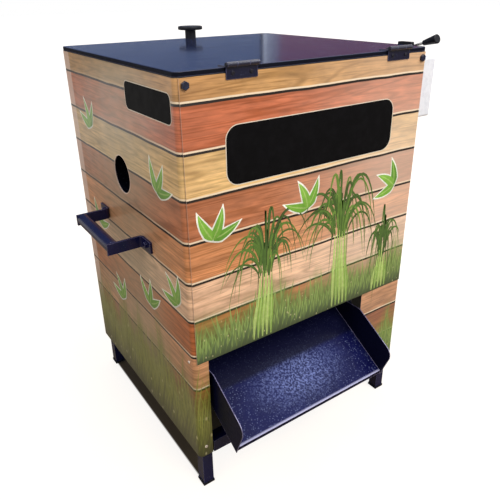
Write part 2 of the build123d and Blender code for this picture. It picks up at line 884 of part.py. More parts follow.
def swing_arm(x):
    """A flat link from the pivot shaft to the roller's axle."""
    drop = math.hypot(pressure_y - pivot_y, pressure_z - pivot_z)
    lean = math.degrees(math.atan2(pressure_z - pivot_z, pressure_y - pivot_y))
    link = Pos(drop / 2, 0) * Rectangle(drop, 2 * arm_lobe_radius)
    link += Circle(arm_lobe_radius)
    link += Pos(drop, 0) * Circle(arm_lobe_radius)
    link -= Circle(pivot_radius + keyed_clearance)
    link -= Pos(drop, 0) * Circle(axle_radius + keyed_clearance)
    return side_shape(Pos(pivot_y, pivot_z) * Rot(0, 0, lean) * link, x)


parts["pressure_arms"] = group([swing_arm(left_arm_x), swing_arm(right_arm_x)])

hub_left = half_width + bush_flange_thickness + lever_hub_gap
hub_right = hub_left + lever_hub_length
parts["pivot_shaft"] = bar_x((chamber_left - journal_end, hub_right), pivot_y, pivot_z, pivot_radius)
lever_x = (hub_left + hub_right) / 2
lever_frame = Location(
    Plane(
        origin=(lever_x, pivot_y, pivot_z),
        x_dir=(1, 0, 0),
        z_dir=(0, -math.cos(math.radians(lever_slope)), math.sin(math.radians(lever_slope))),
    )
)
lever = bar_x((hub_left, hub_right), pivot_y, pivot_z, lever_hub_radius)
lever += lever_frame * Pos(0, 0, lever_rod_length / 2) * Cylinder(lever_rod_radius, lever_rod_length)
lever -= bar_x((hub_left, hub_right), pivot_y, pivot_z, pivot_radius + keyed_clearance)
parts["hand_lever"] = lever
grip_base = lever_rod_length - grip_socket
grip = Pos(0, 0, grip_base + grip_length / 2) * Cone(grip_start_radius, grip_end_radius, grip_length)
grip = fillet(grip.edges().filter_by(GeomType.CIRCLE).group_by(Axis.Z)[-1], grip_end_fillet)
grip -= Pos(0, 0, lever_rod_length / 2) * Cylinder(lever_rod_radius + keyed_clearance, lever_rod_length)
parts["lever_grip"] = lever_frame * grip
guide_top = lid_top_height + lever_guide_rise
guide = block(
    (half_width, half_width + lever_guide_thickness),
    (guide_front, guide_front + lever_guide_length),
    (panel_top - lever_guide_foot, guide_top),
)
parts["lever_guide"] = fillet(guide.edges().filter_by(Axis.X), lever_guide_fillet)


# Motor

motor_span = (motor_left, motor_right)
housing = bar_x(motor_span, motor_y, motor_z, motor_radius)
fin_span = (motor_left + motor_end_wall, motor_right - motor_end_wall)
for i in range(motor_fin_count):
    fin = block(fin_span, (-motor_fin_thickness / 2, motor_fin_thickness / 2),
                (motor_radius - motor_fin_thickness, motor_radius + motor_fin_depth))
    housing += Pos(0, motor_y, motor_z) * Rot(i * 360 / motor_fin_count, 0, 0) * fin
motor_bolt_places = []
for foot_x in (motor_left + motor_end_wall, motor_right - motor_end_wall - motor_foot_length):
    foot_span = (foot_x, foot_x + motor_foot_length)
    foot_y = (motor_y - motor_foot_width / 2, motor_y + motor_foot_width / 2)
    foot_top = motor_base_top + motor_foot_thickness
    pad = block(foot_span, foot_y, (motor_base_top, foot_top))
    for side in (-1, 1):
        place = (foot_x + motor_foot_length / 2, motor_y + side * motor_bolt_spacing / 2, foot_top)
        motor_bolt_places.append(place)
        pad -= facing(place, upward) * Cylinder(
            bolt_shank_radius + screw_clearance, 2 * motor_foot_thickness + cut_past
        )
    web_y = (motor_y - motor_radius / 2, motor_y + motor_radius / 2)
    housing += pad + block(foot_span, web_y, (motor_base_top, motor_z))
parts["machine_bolts"] = group(
    [bolt_at(place, upward, block_base) for place in block_bolt_places]
    + [bolt_at(place, upward, motor_foot_thickness) for place in motor_bolt_places]
)
cavity = motor_radius - motor_wall
housing -= bar_x(fin_span, motor_y, motor_z, cavity)
shaft_way = (motor_left - cut_past, motor_right + cut_past)
housing -= bar_x(shaft_way, motor_y, motor_z, motor_shaft_radius + running_clearance)
parts["motor_housing"] = housing

fan_left = motor_left - cowl_length + cowl_wall + fan_cowl_gap
rotor_shaft = (fan_left, pulley_left + pulley_width)
rotor = bar_x(rotor_shaft, motor_y, motor_z, motor_shaft_radius)
core_span = (fin_span[0] + motor_end_wall, fin_span[1] - motor_end_wall)
rotor += bar_x(core_span, motor_y, motor_z, cavity - motor_core_gap)
parts["motor_shaft"] = rotor

fan_span = (fan_left, fan_left + fan_length)
fan = bar_x(fan_span, motor_y, motor_z, fan_hub_radius)
for i in range(fan_blade_count):
    blade = block(fan_span, (-fan_blade_thickness / 2, fan_blade_thickness / 2),
                  (fan_hub_radius - fan_blade_root, fan_radius))
    fan += Pos(0, motor_y, motor_z) * Rot(i * 360 / fan_blade_count, 0, 0) * blade
fan -= bar_x(fan_span, motor_y, motor_z, motor_shaft_radius + keyed_clearance)
parts["motor_fan"] = fan

cowl_span = (motor_left - cowl_length, motor_left)
cowl = bar_x(cowl_span, motor_y, motor_z, motor_radius)
cowl -= bar_x((cowl_span[0] + cowl_wall, cowl_span[1]), motor_y, motor_z, motor_radius - cowl_wall)
slot_reach = (fan_hub_radius, fan_radius)
for i in range(cowl_slot_count):
    slot = block((cowl_span[0] - cut_past, cowl_span[0] + cowl_wall + cut_past),
                 (-cowl_slot_width / 2, cowl_slot_width / 2), slot_reach)
    cowl -= Pos(0, motor_y, motor_z) * Rot(i * 360 / cowl_slot_count, 0, 0) * slot
parts["motor_cowl"] = cowl
base_x = (motor_left + motor_end_wall - motor_base_margin, motor_right - motor_end_wall + motor_base_margin)
base_half = motor_foot_width / 2 + motor_base_margin
parts["motor_base"] = block(base_x, (motor_y - base_half, motor_y + base_half),
                            (motor_base_top - motor_base_thickness, motor_base_top))


# Switch box on the right panel

switch_y = (switch_front, switch_front + switch_width)
switch_z = (switch_top - switch_tall, switch_top)
switch_middle_y = sum(switch_y) / 2
switch_middle_z = sum(switch_z) / 2
cover_x = (half_width + switch_base_depth, half_width + switch_base_depth + switch_cover_depth)
base_box = block((half_width, cover_x[0]), switch_y, switch_z)
base_box = fillet(base_box.edges().filter_by(Axis.X), switch_corner)
hollow_y = (switch_y[0] + switch_wall, switch_y[1] - switch_wall)
hollow_z = (switch_z[0] + switch_wall, switch_z[1] - switch_wall)
base_box -= block((half_width + switch_wall, cover_x[0]), hollow_y, hollow_z)
gland_x = half_width + gland_from_panel + gland_radius
gland_way = (switch_z[0] - cut_past, hollow_z[0] + cut_past)
base_box -= bar_z(gland_x, switch_middle_y, gland_way, gland_hole_radius)
parts["switch_base"] = base_box

cover_box = block(cover_x, switch_y, switch_z)
cover_box = fillet(cover_box.edges().filter_by(Axis.X), switch_corner)
cover_box = fillet(cover_box.faces().sort_by(Axis.X)[-1].edges(), switch_wall)
cover_box -= block((cover_x[0], cover_x[1] - switch_wall), hollow_y, hollow_z)


def breaker_box(x, tall, grow):
    half_y = breaker_width / 2 + grow
    half_z = tall / 2 + grow
    return block(
        x,
        (switch_middle_y - half_y, switch_middle_y + half_y),
        (switch_middle_z - half_z, switch_middle_z + half_z),
    )


window = breaker_box((cover_x[0], cover_x[1] + cut_past), breaker_nose_tall, breaker_window_gap)
parts["switch_cover"] = cover_box - window
breaker_nose = cover_x[1] + breaker_nose_proud
shoulder = cover_x[1] - switch_wall - breaker_shoulder_gap
breaker = breaker_box((half_width + switch_wall, shoulder), breaker_tall, 0)
breaker += breaker_box((half_width + switch_wall, breaker_nose), breaker_nose_tall, 0)
toggle_x = breaker_nose - toggle_drum_radius / 2
toggle_y = (switch_middle_y - toggle_width / 2, switch_middle_y + toggle_width / 2)
pocket_y = (toggle_y[0] - toggle_clearance, toggle_y[1] + toggle_clearance)
breaker -= bar_y(toggle_x, pocket_y, switch_middle_z, toggle_drum_radius + toggle_clearance)
parts["breaker"] = breaker
toggle = bar_y(toggle_x, toggle_y, switch_middle_z, toggle_drum_radius)
stick = block(
    (0, toggle_drum_radius + toggle_length),
    (toggle_y[0], toggle_y[1]),
    (-toggle_thickness / 2, toggle_thickness / 2),
)
toggle += Pos(toggle_x, 0, switch_middle_z) * Rot(0, -toggle_rest_angle, 0) * stick
parts["breaker_toggle"] = toggle

gland = bar_z(gland_x, switch_middle_y, (switch_z[0] - gland_length, switch_z[0]), gland_body_radius)
nut = extrude(RegularPolygon(gland_radius, 6), gland_nut_height)
gland += Pos(gland_x, switch_middle_y, switch_z[0] - gland_nut_height) * nut
parts["cable_gland"] = gland - bar_z(
    gland_x, switch_middle_y, (switch_z[0] - gland_length, switch_z[0]), gland_bore
)


# The origin is on the floor, under the middle of the whole machine's box.
boxes = [shape.bounding_box() for shape in parts.values()]
middle_x = (min(box.min.X for box in boxes) + max(box.max.X for box in boxes)) / 2
middle_y = (min(box.min.Y for box in boxes) + max(box.max.Y for box in boxes)) / 2
to_origin = Pos(-middle_x, -middle_y, 0)

os.makedirs("parts", exist_ok=True)
for node, shape in parts.items():
    export_step(to_origin * shape, f"parts/{node}.step")

print(len(parts), "nodes, origin moved by", round(-middle_x, 4), round(-middle_y, 4))
for name, place in {
    "lid hinge": (0, hinge_y, hinge_z),
    "pressure lever": (0, pivot_y, pivot_z),
    "pressure roller": (0, pressure_y, pressure_z),
    "brush": (0, brush_y, roller_z),
    "support roller": (0, support_y, roller_z),
    "motor": (0, motor_y, motor_z),
    "toggle": (toggle_x, switch_middle_y, switch_middle_z),
}.items():
    print(name, [round(a - b, 4) for a, b in zip(place, (middle_x, middle_y, 0))])
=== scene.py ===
# %% [markdown]
# # A sugarcane peeling machine, dressed for its picture
# The cabinet is a welded steel frame with printed sheet panels, an enamelled lid and a discharge tray.
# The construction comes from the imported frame, so here we only add finishes, the thin printed pieces and the
# wires of the brush. We work in metres and in the frame's own axes: the front looks along -Y and up is +Z.

# %% Load the frame
import json
import math
import random

import bpy
from mathutils import Matrix, Vector


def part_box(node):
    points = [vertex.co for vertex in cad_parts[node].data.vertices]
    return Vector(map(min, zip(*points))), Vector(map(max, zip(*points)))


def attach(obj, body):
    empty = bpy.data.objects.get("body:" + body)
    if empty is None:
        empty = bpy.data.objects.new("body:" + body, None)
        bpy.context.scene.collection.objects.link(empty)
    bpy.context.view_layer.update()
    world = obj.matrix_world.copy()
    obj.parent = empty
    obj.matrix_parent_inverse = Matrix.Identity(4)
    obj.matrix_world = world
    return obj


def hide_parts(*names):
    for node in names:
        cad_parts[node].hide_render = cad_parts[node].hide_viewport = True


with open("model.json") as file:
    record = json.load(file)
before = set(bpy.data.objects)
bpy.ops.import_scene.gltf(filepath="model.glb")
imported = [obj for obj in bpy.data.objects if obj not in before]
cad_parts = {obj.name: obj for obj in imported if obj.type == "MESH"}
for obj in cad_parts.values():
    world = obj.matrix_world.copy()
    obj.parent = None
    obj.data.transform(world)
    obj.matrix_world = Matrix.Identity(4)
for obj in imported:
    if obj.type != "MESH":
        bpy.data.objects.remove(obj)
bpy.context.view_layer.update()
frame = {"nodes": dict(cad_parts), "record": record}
nodes = frame["nodes"]
MM = 0.001
print("nodes in the frame:", len(nodes))

# %% [markdown]
# The camera stands off the left front corner, a little above the lid, as for the photograph. Its place was
# found by matching corners of the cabinet, so the lens and the aim are numbers from that match. We give the
# camera its axes directly, because that needs no target object.

# %% Camera
LENS_MM = 37.89
SENSOR_MM = 36.0
SHIFT_RIGHT, SHIFT_UP = 0.0031, -0.0402
CAMERA_PLACE = (-0.6791, -0.9996, 1.0265)
looking = Vector((0.51113, 0.75410, -0.41242)).normalized()
rightward = Vector((0.82414, -0.56622, -0.01393)).normalized()
upward = rightward.cross(looking).normalized()
camera_data = bpy.data.cameras.new("camera")
camera_data.sensor_width = SENSOR_MM
camera_data.lens = LENS_MM
camera_data.shift_x = SHIFT_RIGHT
camera_data.shift_y = SHIFT_UP
camera = bpy.data.objects.new("camera", camera_data)
bpy.context.collection.objects.link(camera)
axes = Matrix((rightward, upward, -looking)).transposed()
camera.matrix_world = Matrix.Translation(CAMERA_PLACE) @ axes.to_4x4()
bpy.context.scene.camera = camera
print("camera at", [round(value, 3) for value in camera.matrix_world.translation])

# %% [markdown]
# ## Helpers for the finishes
# Colours are written as people read them on a screen, so one function turns them into the linear light that a
# shader works with. Another turns a size in millimetres into the scale of a pattern.

# %% Colours and scales
def linear(hex_colour):
    """The linear RGBA of a screen colour such as "#c49660"."""
    shares = [int(hex_colour[place:place + 2], 16) / 255 for place in (1, 3, 5)]
    light = [s / 12.92 if s <= 0.04045 else ((s + 0.055) / 1.055) ** 2.4 for s in shares]
    return (*light, 1.0)


def per_metre(size_mm):
    """The scale of a pattern whose patches are about size_mm across."""
    return 1 / (size_mm * MM)


print("a tan board in linear light:", [round(share, 3) for share in linear("#c49660")])

# %% [markdown]
# A finish could be wired by hand in the shader editor. In a script, one function that adds a node with its
# settings and links keeps each finish short. Sockets are named or numbered as Blender has them: a map range
# takes its value in 0, the range it comes from in 1 and 2, and the range it goes to in 3 and 4; a mix of
# colours takes its share in 0 and the two colours in 6 and 7.

# %% One node
def add(tree, kind, inputs=None, give=0, stops=(), **settings):
    """Adds one shader node with its settings, inputs and colour stops, and returns the output asked for."""
    node = tree.nodes.new("ShaderNode" + kind)
    for name, value in settings.items():
        setattr(node, name, value)
    for socket, value in (inputs or {}).items():
        if isinstance(value, bpy.types.NodeSocket):
            tree.links.new(value, node.inputs[socket])
        else:
            node.inputs[socket].default_value = value
    if stops:
        band = node.color_ramp.elements
        while len(band) < len(stops):
            band.new(0.5)
        for element, (position, colour) in zip(band, stops):
            element.position = position
            element.color = linear(colour)
    return node.outputs[give] if len(node.outputs) else None


print("every node comes from", add.__name__)

# %% [markdown]
# Every finish starts with an empty material and the place on the object. It ends with eased edges, small bumps
# and one principled surface. Between the two, most finishes are worn in soft patches.

# %% Start, wear and end of a finish
def start(name):
    """An empty material, its tree, and the place on the object in metres."""
    made = bpy.data.materials.new(name)
    made.use_nodes = True
    made.node_tree.nodes.clear()
    return made, made.node_tree, add(made.node_tree, "TexCoord", give="Object")


def wear(tree, place, colour, worn, amount, size_mm):
    """Mixes a worn colour into a colour in soft patches about size_mm across."""
    cloud = add(tree, "TexNoise", {"Vector": place, "Scale": per_metre(size_mm), "Detail": 6.0})
    patches = add(tree, "MapRange", {0: cloud, 1: 0.45, 2: 0.75, 3: 0.0, 4: amount})
    return add(tree, "Mix", {0: patches, 6: colour, 7: worn}, 2, data_type="RGBA")


def end(tree, bumps=(), edge_mm=0.0, **sockets):
    """Closes a material: bumps are (height, depth in mm), edge_mm is how far sharp edges look eased."""
    normal = add(tree, "Bevel", {"Radius": edge_mm * MM}, samples=4) if edge_mm else None
    for height, depth in bumps:
        relief = {"Height": height, "Distance": depth * MM, "Strength": 1.0}
        normal = add(tree, "Bump", {**relief, "Normal": normal} if normal else relief)
    if normal:
        sockets["Normal"] = normal
    words = {name.replace("_", " "): value for name, value in sockets.items()}
    surface = add(tree, "BsdfPrincipled", words)
    add(tree, "OutputMaterial", {"Surface": surface})


print("helpers ready")

# %% [markdown]
# ## The printed film
# The panels are thin steel covered with glossy vinyl film, printed with rows of boards and a band of grass.
# A picture could be laid on them, but a pattern drawn from the place on the cabinet needs no picture and runs
# on round the corners. The places it needs are measured on the frame.

# %% Places on the cabinet
front_low, front_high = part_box("front_panel")
left_low, left_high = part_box("left_panel")
tube_low, tube_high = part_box("inlet_tube")
HOLE_PLACE = (left_low[0], (tube_low[1] + tube_high[1]) / 2, (tube_low[2] + tube_high[2]) / 2)
HOLE_RADIUS = 40.5 * MM
CABINET_MIDDLE = (0.0, (left_low[1] + left_high[1]) / 2, (left_low[2] + left_high[2]) / 2)
print("cane hole at", [round(value, 4) for value in HOLE_PLACE])

# %% [markdown]
# The boards lie in level rows. The height gives the number of a board and how far up the board a point is; the
# number picks the colour. A slow drift of a millimetre keeps the joints from looking ruled.

# %% Rows of boards
JOINT_PITCH = 82.53 * MM
FIRST_JOINT = 40.0 * MM
# from the lowest board to the highest
BOARD_COLOURS = ("#a9683c", "#8d5632", "#a05a36", "#d39a72", "#c4703f", "#f6ccaa",
                 "#e29a68", "#bd7753", "#ecc68a", "#cb7451", "#cb9c66")


def boards(tree, along, height):
    """The boards' plain colour, the place for their grain, and how far up its board a point is."""
    line = add(tree, "CombineXYZ", {0: along})
    drift = add(tree, "TexNoise", {"Vector": line, "Scale": per_metre(150), "Detail": 2.0})
    wave = add(tree, "MapRange", {0: drift, 1: 0.3, 2: 0.7, 3: -1.2 * MM, 4: 1.2 * MM})
    level = add(tree, "Math", {0: height, 1: wave}, operation="ADD")
    count = add(tree, "MapRange", {0: level, 1: FIRST_JOINT, 2: FIRST_JOINT + JOINT_PITCH}, clamp=False)
    board = add(tree, "Math", {0: count}, operation="FLOOR")
    share = add(tree, "Math", {0: count}, operation="FRACT")
    total = len(BOARD_COLOURS)
    number = add(tree, "Math", {0: board, 1: 1 / total, 2: 0.5 / total}, operation="MULTIPLY_ADD")
    stops = [(index / total, colour) for index, colour in enumerate(BOARD_COLOURS)]
    colour = add(tree, "ValToRGB", {"Fac": number}, stops=stops)
    colour.node.color_ramp.interpolation = "CONSTANT"
    return colour, add(tree, "CombineXYZ", {0: along, 1: board, 2: level}), share


print("rows of boards:", len(BOARD_COLOURS))

# %% [markdown]
# Sawn wood shows long streaks, short flecks, growth rings and pores. All four are noise that is stretched along
# the board. Each scale below is a length along the board, a step from board to board, and a width across it;
# the step gives every board a grain of its own.

# %% Grain of the boards
STREAKS = (per_metre(416.7), 3.1, per_metre(26.316))
FLECKS = (per_metre(38.46), 2.3, per_metre(9.091))
RINGS = (per_metre(1000), 5.3, per_metre(76.92))
PORES = (per_metre(90.91), 1.7, per_metre(3.3333))


def wood_grain(tree, colour, grain):
    """Shades a board's colour with streaks and flecks, and draws rings and pores into it."""
    streak_place = add(tree, "Mapping", {"Vector": grain, "Scale": STREAKS})
    streaks = add(tree, "TexNoise", {"Vector": streak_place, "Scale": 1.0, "Detail": 6.0, "Roughness": 0.62})
    shade = add(tree, "MapRange", {0: streaks, 1: 0.3, 2: 0.72, 3: 0.74, 4: 1.26})
    fleck_place = add(tree, "Mapping", {"Vector": grain, "Scale": FLECKS})
    flecks = add(tree, "TexNoise", {"Vector": fleck_place, "Scale": 1.0, "Detail": 4.0})
    flecks = add(tree, "MapRange", {0: flecks, 1: 0.3, 2: 0.7, 3: 0.8, 4: 1.2})
    shade = add(tree, "Math", {0: shade, 1: flecks}, operation="MULTIPLY")
    colour = add(tree, "HueSaturation", {"Color": colour, "Value": shade})
    # growth rings are level lines of long flat hills; pores are short dark dashes along the grain
    ring_place = add(tree, "Mapping", {"Vector": grain, "Scale": RINGS})
    hills = add(tree, "TexNoise", {"Vector": ring_place, "Scale": 1.0, "Detail": 2.0, "Distortion": 0.25})
    steps = add(tree, "Math", {0: hills, 1: 15.0}, operation="MULTIPLY")
    ring = add(tree, "Math", {0: steps, 1: 0.5}, operation="PINGPONG")
    rings = add(tree, "MapRange", {0: ring, 1: 0.04, 2: 0.2, 3: 0.55, 4: 0.0})
    pore_place = add(tree, "Mapping", {"Vector": grain, "Scale": PORES})
    pores = add(tree, "TexNoise", {"Vector": pore_place, "Scale": 1.0, "Detail": 2.0})
    pores = add(tree, "MapRange", {0: pores, 1: 0.5, 2: 0.68, 3: 0.0, 4: 0.6})
    lines = add(tree, "Math", {0: rings, 1: pores}, operation="MAXIMUM")
    deep = add(tree, "HueSaturation", {"Color": colour, "Saturation": 1.15, "Value": 0.42})
    return add(tree, "Mix", {0: lines, 6: colour, 7: deep}, 2, data_type="RGBA")


print("grain drawn by", wood_grain.__name__)

# %% [markdown]
# A pale edge over a dark gap marks each joint. Both are bands of a board's height, so they need no new place.

# %% Joints between the boards
def joints(tree, colour, along, share):
    """The joint between two boards: a dark gap, and over it a pale edge that fades along the left side."""
    left_fade = add(tree, "MapRange", {0: along, 1: -0.3, 2: -0.07, 3: 0.15, 4: 0.9})
    edge = add(tree, "MapRange", {0: share, 1: 0.05, 2: 0.034}, interpolation_type="SMOOTHSTEP")
    pale = add(tree, "Math", {0: edge, 1: left_fade}, operation="MULTIPLY")
    colour = add(tree, "Mix", {0: pale, 6: colour, 7: linear("#f6e3c8")}, 2, data_type="RGBA")
    dark = add(tree, "MapRange", {0: share, 1: 0.936, 2: 0.95}, interpolation_type="SMOOTHSTEP")
    return add(tree, "Mix", {0: dark, 6: colour, 7: linear("#120907")}, 2, data_type="RGBA")


print("joints drawn by", joints.__name__)

# %% [markdown]
# The grass is printed over the boards at the foot of each panel. First comes a soft green mass that thins
# upwards, with a top that swells and sinks. It is darkest at the ground, partly as the print's own darker grass
# and partly as painted shade along the panel's bottom.

# %% Grass, the soft mass
def grass_mass(tree, colour, along, height, ground, tall, mass_colour):
    """The colour with the mass on it, the height over the ground, the swell of the mass and its cover."""
    up = add(tree, "Math", {0: height, 1: ground}, operation="SUBTRACT")
    line = add(tree, "CombineXYZ", {0: along})
    tufts = add(tree, "TexNoise", {"Vector": line, "Scale": per_metre(90), "Detail": 3.0})
    swell = add(tree, "MapRange", {0: tufts, 1: 0.3, 2: 0.7, 3: 0.55 * tall, 4: 1.2 * tall})
    thick = add(tree, "Math", {0: up, 1: swell}, operation="DIVIDE")
    cover = add(tree, "MapRange", {0: thick, 1: 1.0, 2: 0.32, 3: 0.0, 4: 0.95},
                interpolation_type="SMOOTHSTEP")
    flat = add(tree, "CombineXYZ", {0: along, 2: height})
    spots = add(tree, "TexNoise", {"Vector": flat, "Scale": per_metre(12), "Detail": 5.0})
    mottle = add(tree, "MapRange", {0: spots, 1: 0.3, 2: 0.7, 3: 0.68, 4: 1.3})
    # darker towards the ground: partly the print, partly painted shade along the panel's bottom
    rise = add(tree, "MapRange", {0: up, 1: 0.0, 2: 0.115, 3: 0.38, 4: 1.05},
               interpolation_type="SMOOTHSTEP")
    mottle = add(tree, "Math", {0: mottle, 1: rise}, operation="MULTIPLY")
    mass = add(tree, "HueSaturation", {"Color": linear(mass_colour), "Value": mottle})
    colour = add(tree, "Mix", {0: cover, 6: colour, 7: mass}, 2, data_type="RGBA")
    return colour, up, swell, cover


print("grass begins with", grass_mass.__name__)

# %% [markdown]
# Over the mass stand rows of pointed blades, the back row first. A row is a line of cells, one blade in each;
# a random number for the cell sets how tall its blade has grown. Blades could be modelled, but they are only
# ink here, so a pattern does.

# %% Grass, the blades
def grass_blades(tree, colour, along, up, swell, rows):
    """Draws the rows of blades; a row is (colour, cell width in mm, lean, reach as a share of the swell)."""
    for row, (blade_colour, width_mm, lean, reach) in enumerate(rows):
        sway = add(tree, "Math", {0: up, 1: lean, 2: along}, operation="MULTIPLY_ADD")
        cells = add(tree, "Math", {0: sway, 1: per_metre(width_mm), 2: 0.37 * row}, operation="MULTIPLY_ADD")
        cell = add(tree, "Math", {0: cells}, operation="FLOOR")
        luck = add(tree, "TexWhiteNoise", {"W": cell}, noise_dimensions="1D")
        grown = add(tree, "MapRange", {0: luck, 3: 0.45 * reach, 4: reach})
        top = add(tree, "Math", {0: grown, 1: swell}, operation="MULTIPLY")
        climb = add(tree, "Math", {0: up, 1: top}, operation="DIVIDE")
        across = add(tree, "Math", {0: cells, 1: 0.5}, operation="PINGPONG")
        # across is 0 at a cell's edge and 0.5 at the blade's middle; the blade narrows as it climbs
        edge = add(tree, "Math", {0: across, 1: -2.0, 2: 1.0}, operation="MULTIPLY_ADD")
        room = add(tree, "Math", {0: edge, 1: climb}, operation="ADD")
        blade = add(tree, "MapRange", {0: room, 1: 1.06, 2: 0.94, 3: 0.0, 4: 0.9},
                    interpolation_type="SMOOTHSTEP")
        tone = add(tree, "MapRange", {0: climb, 1: 0.0, 2: 1.0, 3: 0.45, 4: 1.35})
        painted = add(tree, "HueSaturation", {"Color": linear(blade_colour), "Value": tone})
        colour = add(tree, "Mix", {0: blade, 6: colour, 7: painted}, 2, data_type="RGBA")
    return colour


def seed_heads(tree, colour, along, height, cover, tall):
    """Small pale dashes in a few of the cells of a grid that is stretched upwards."""
    squeezed = add(tree, "Math", {0: along, 1: 1.8}, operation="MULTIPLY")
    seed_place = add(tree, "CombineXYZ", {0: squeezed, 2: height})
    seeds = add(tree, "TexVoronoi", {"Vector": seed_place, "Scale": 10 / tall}).node.outputs
    few = add(tree, "MapRange", {0: seeds["Color"], 1: 0.62, 2: 0.64})
    small = add(tree, "MapRange", {0: seeds["Distance"], 1: 0.2, 2: 0.1, 3: 0.0, 4: 0.75})
    seed = add(tree, "Math", {0: few, 1: small}, operation="MULTIPLY")
    seed = add(tree, "Math", {0: seed, 1: cover}, operation="MULTIPLY")
    return add(tree, "Mix", {0: seed, 6: colour, 7: linear("#d9d3a0")}, 2, data_type="RGBA")


FRONT_BLADES = (("#8aa058", 16.0, 0.10, 1.00), ("#6f8a48", 11.0, -0.22, 1.0), ("#7b9650", 9.0, 0.30, 0.86),
                ("#93ad62", 7.0, -0.12, 0.72), ("#68804a", 10.0, 0.16, 0.6), ("#566b45", 13.0, -0.3, 0.42))
SIDE_BLADES = (("#8c8c46", 16.0, 0.12, 1.0), ("#82823a", 12.0, -0.2, 1.0), ("#7c8238", 9.0, 0.28, 0.9),
               ("#949848", 6.0, -0.1, 0.75), ("#707634", 9.0, 0.14, 0.66), ("#60622e", 14.0, -0.3, 0.5))
print("rows of blades:", len(FRONT_BLADES), "on the front,", len(SIDE_BLADES), "on the sides")

# %% [markdown]
# A painted sheen pales the ink to the right of the front, and the ink is deeper near its left edge. High up on
# the sides, a painted haze of reflection greys it. Where the film wraps round the back corners, a pale strip is
# a painted highlight on the rounded corner. These are soft shares of a few colours over the boards.

# %% Painted sheen, haze and corner highlight on the film
def painted_sheen_and_haze(tree, colour, where, painted_sheen):
    """Pales the ink to the right as a painted sheen, deepens it near the left edge, and greys the sides high up
    as a painted haze of reflection.
    """
    # painted sheen: the ink pales to the right of the front
    right = add(tree, "MapRange", {0: where[0], 1: -0.15, 2: 0.22, 3: 0.0, 4: painted_sheen},
                interpolation_type="SMOOTHSTEP")
    below = add(tree, "MapRange", {0: where[2], 1: 0.88, 2: 0.7, 3: 0.5, 4: 1.0})
    sheen_share = add(tree, "Math", {0: right, 1: below}, operation="MULTIPLY")
    colour = add(tree, "Mix", {0: sheen_share, 6: colour, 7: linear("#f0d8c8")}, 2, data_type="RGBA")
    # the ink is deeper near the left edge
    left_fade = add(tree, "MapRange", {0: where[0], 1: -0.3, 2: -0.12, 3: 0.4 * painted_sheen, 4: 0.0})
    colour = add(tree, "Mix", {0: left_fade, 6: colour, 7: linear("#8f4a24")}, 2, data_type="RGBA")
    # painted haze: a reflection greys the sides high up
    back = add(tree, "MapRange", {0: where[1], 1: left_low[1], 2: 0.0}, interpolation_type="SMOOTHSTEP")
    forward = add(tree, "MapRange", {0: where[1], 1: 0.25, 2: 0.05, 3: 0.3, 4: 1.0})
    aloft = add(tree, "MapRange", {0: where[2], 1: 0.25, 2: 0.8, 3: 0.5, 4: 0.46})
    painted_haze = add(tree, "Math", {0: back, 1: forward}, operation="MULTIPLY")
    painted_haze = add(tree, "Math", {0: painted_haze, 1: aloft}, operation="MULTIPLY")
    return add(tree, "Mix", {0: painted_haze, 6: colour, 7: linear("#a8a48c")}, 2, data_type="RGBA")


def painted_corner_highlight(tree, colour, aside, depth):
    """Paints a highlight as a pale strip on each side at the rounded back corner."""
    wall = -left_low[0]
    strip = left_high[1] - 50 * MM
    # painted highlight on the rounded back corner
    bend = add(tree, "MapRange", {0: aside, 1: wall - 6 * MM, 2: wall - 3 * MM, 3: 0.0, 4: 0.65})
    rear = add(tree, "MapRange", {0: depth, 1: strip, 2: strip + 6 * MM})
    bend = add(tree, "Math", {0: bend, 1: rear}, operation="MULTIPLY")
    return add(tree, "Mix", {0: bend, 6: colour, 7: linear("#f8dcd0")}, 2, data_type="RGBA")


print("painted_light drawn by", painted_sheen_and_haze.__name__, "and", painted_corner_highlight.__name__)

# %% [markdown]
# The film covers only the outside of a sheet. Inside, the steel keeps its grey primer, and its cut edges are
# dark. Cutting left a pale line of bare film round the cane hole. A faint pale line on the front panel's
# upright edges is painted light that lifts the shade in the corner seam.

# %% Primer and cut edges
def bare_parts(tree, colour, place, aside, painted_edge_light):
    """Keeps the print on the outside: primer inside, dark cut faces, a pale line where the film was cut round
    the hole, and painted light on the upright edges.
    """
    normal = add(tree, "NewGeometry", give="True Normal")
    from_middle = add(tree, "VectorMath", {0: place, 1: CABINET_MIDDLE}, operation="SUBTRACT")
    outward = add(tree, "VectorMath", {0: from_middle, 1: normal}, "Value", operation="DOT_PRODUCT")
    inside = add(tree, "MapRange", {0: outward, 1: 0.0, 2: -0.02})
    cloud = add(tree, "TexNoise", {"Vector": place, "Scale": per_metre(45), "Detail": 5.0})
    primer = add(tree, "ValToRGB", {"Fac": cloud}, stops=((0.3, "#676b6d"), (0.7, "#7e8284")))
    colour = add(tree, "Mix", {0: inside, 6: colour, 7: primer}, 2, data_type="RGBA")
    turned = add(tree, "SeparateXYZ", {0: normal}).node.outputs[2]
    facing = add(tree, "Math", {0: turned}, operation="ABSOLUTE")
    cut = add(tree, "MapRange", {0: facing, 1: 0.5, 2: 0.6})
    colour = add(tree, "Mix", {0: cut, 6: colour, 7: linear("#1b1612")}, 2, data_type="RGBA")
    off = add(tree, "VectorMath", {0: place, 1: HOLE_PLACE}, "Value", operation="DISTANCE")
    rim = add(tree, "MapRange", {0: off, 1: HOLE_RADIUS + 2.4 * MM, 2: HOLE_RADIUS + 1.2 * MM, 3: 0.0, 4: 0.7})
    # painted light: a faint pale line on the front panel's upright edges lifts the shade in the corner seam
    edge = front_high[0]
    border = add(tree, "MapRange", {0: aside, 1: edge - 0.4 * MM, 2: edge, 3: 0.0, 4: painted_edge_light})
    thin = add(tree, "Math", {0: rim, 1: border}, operation="MAXIMUM")
    return add(tree, "Mix", {0: thin, 6: colour, 7: linear("#f8e2d6")}, 2, data_type="RGBA")


print("bare parts drawn by", bare_parts.__name__)
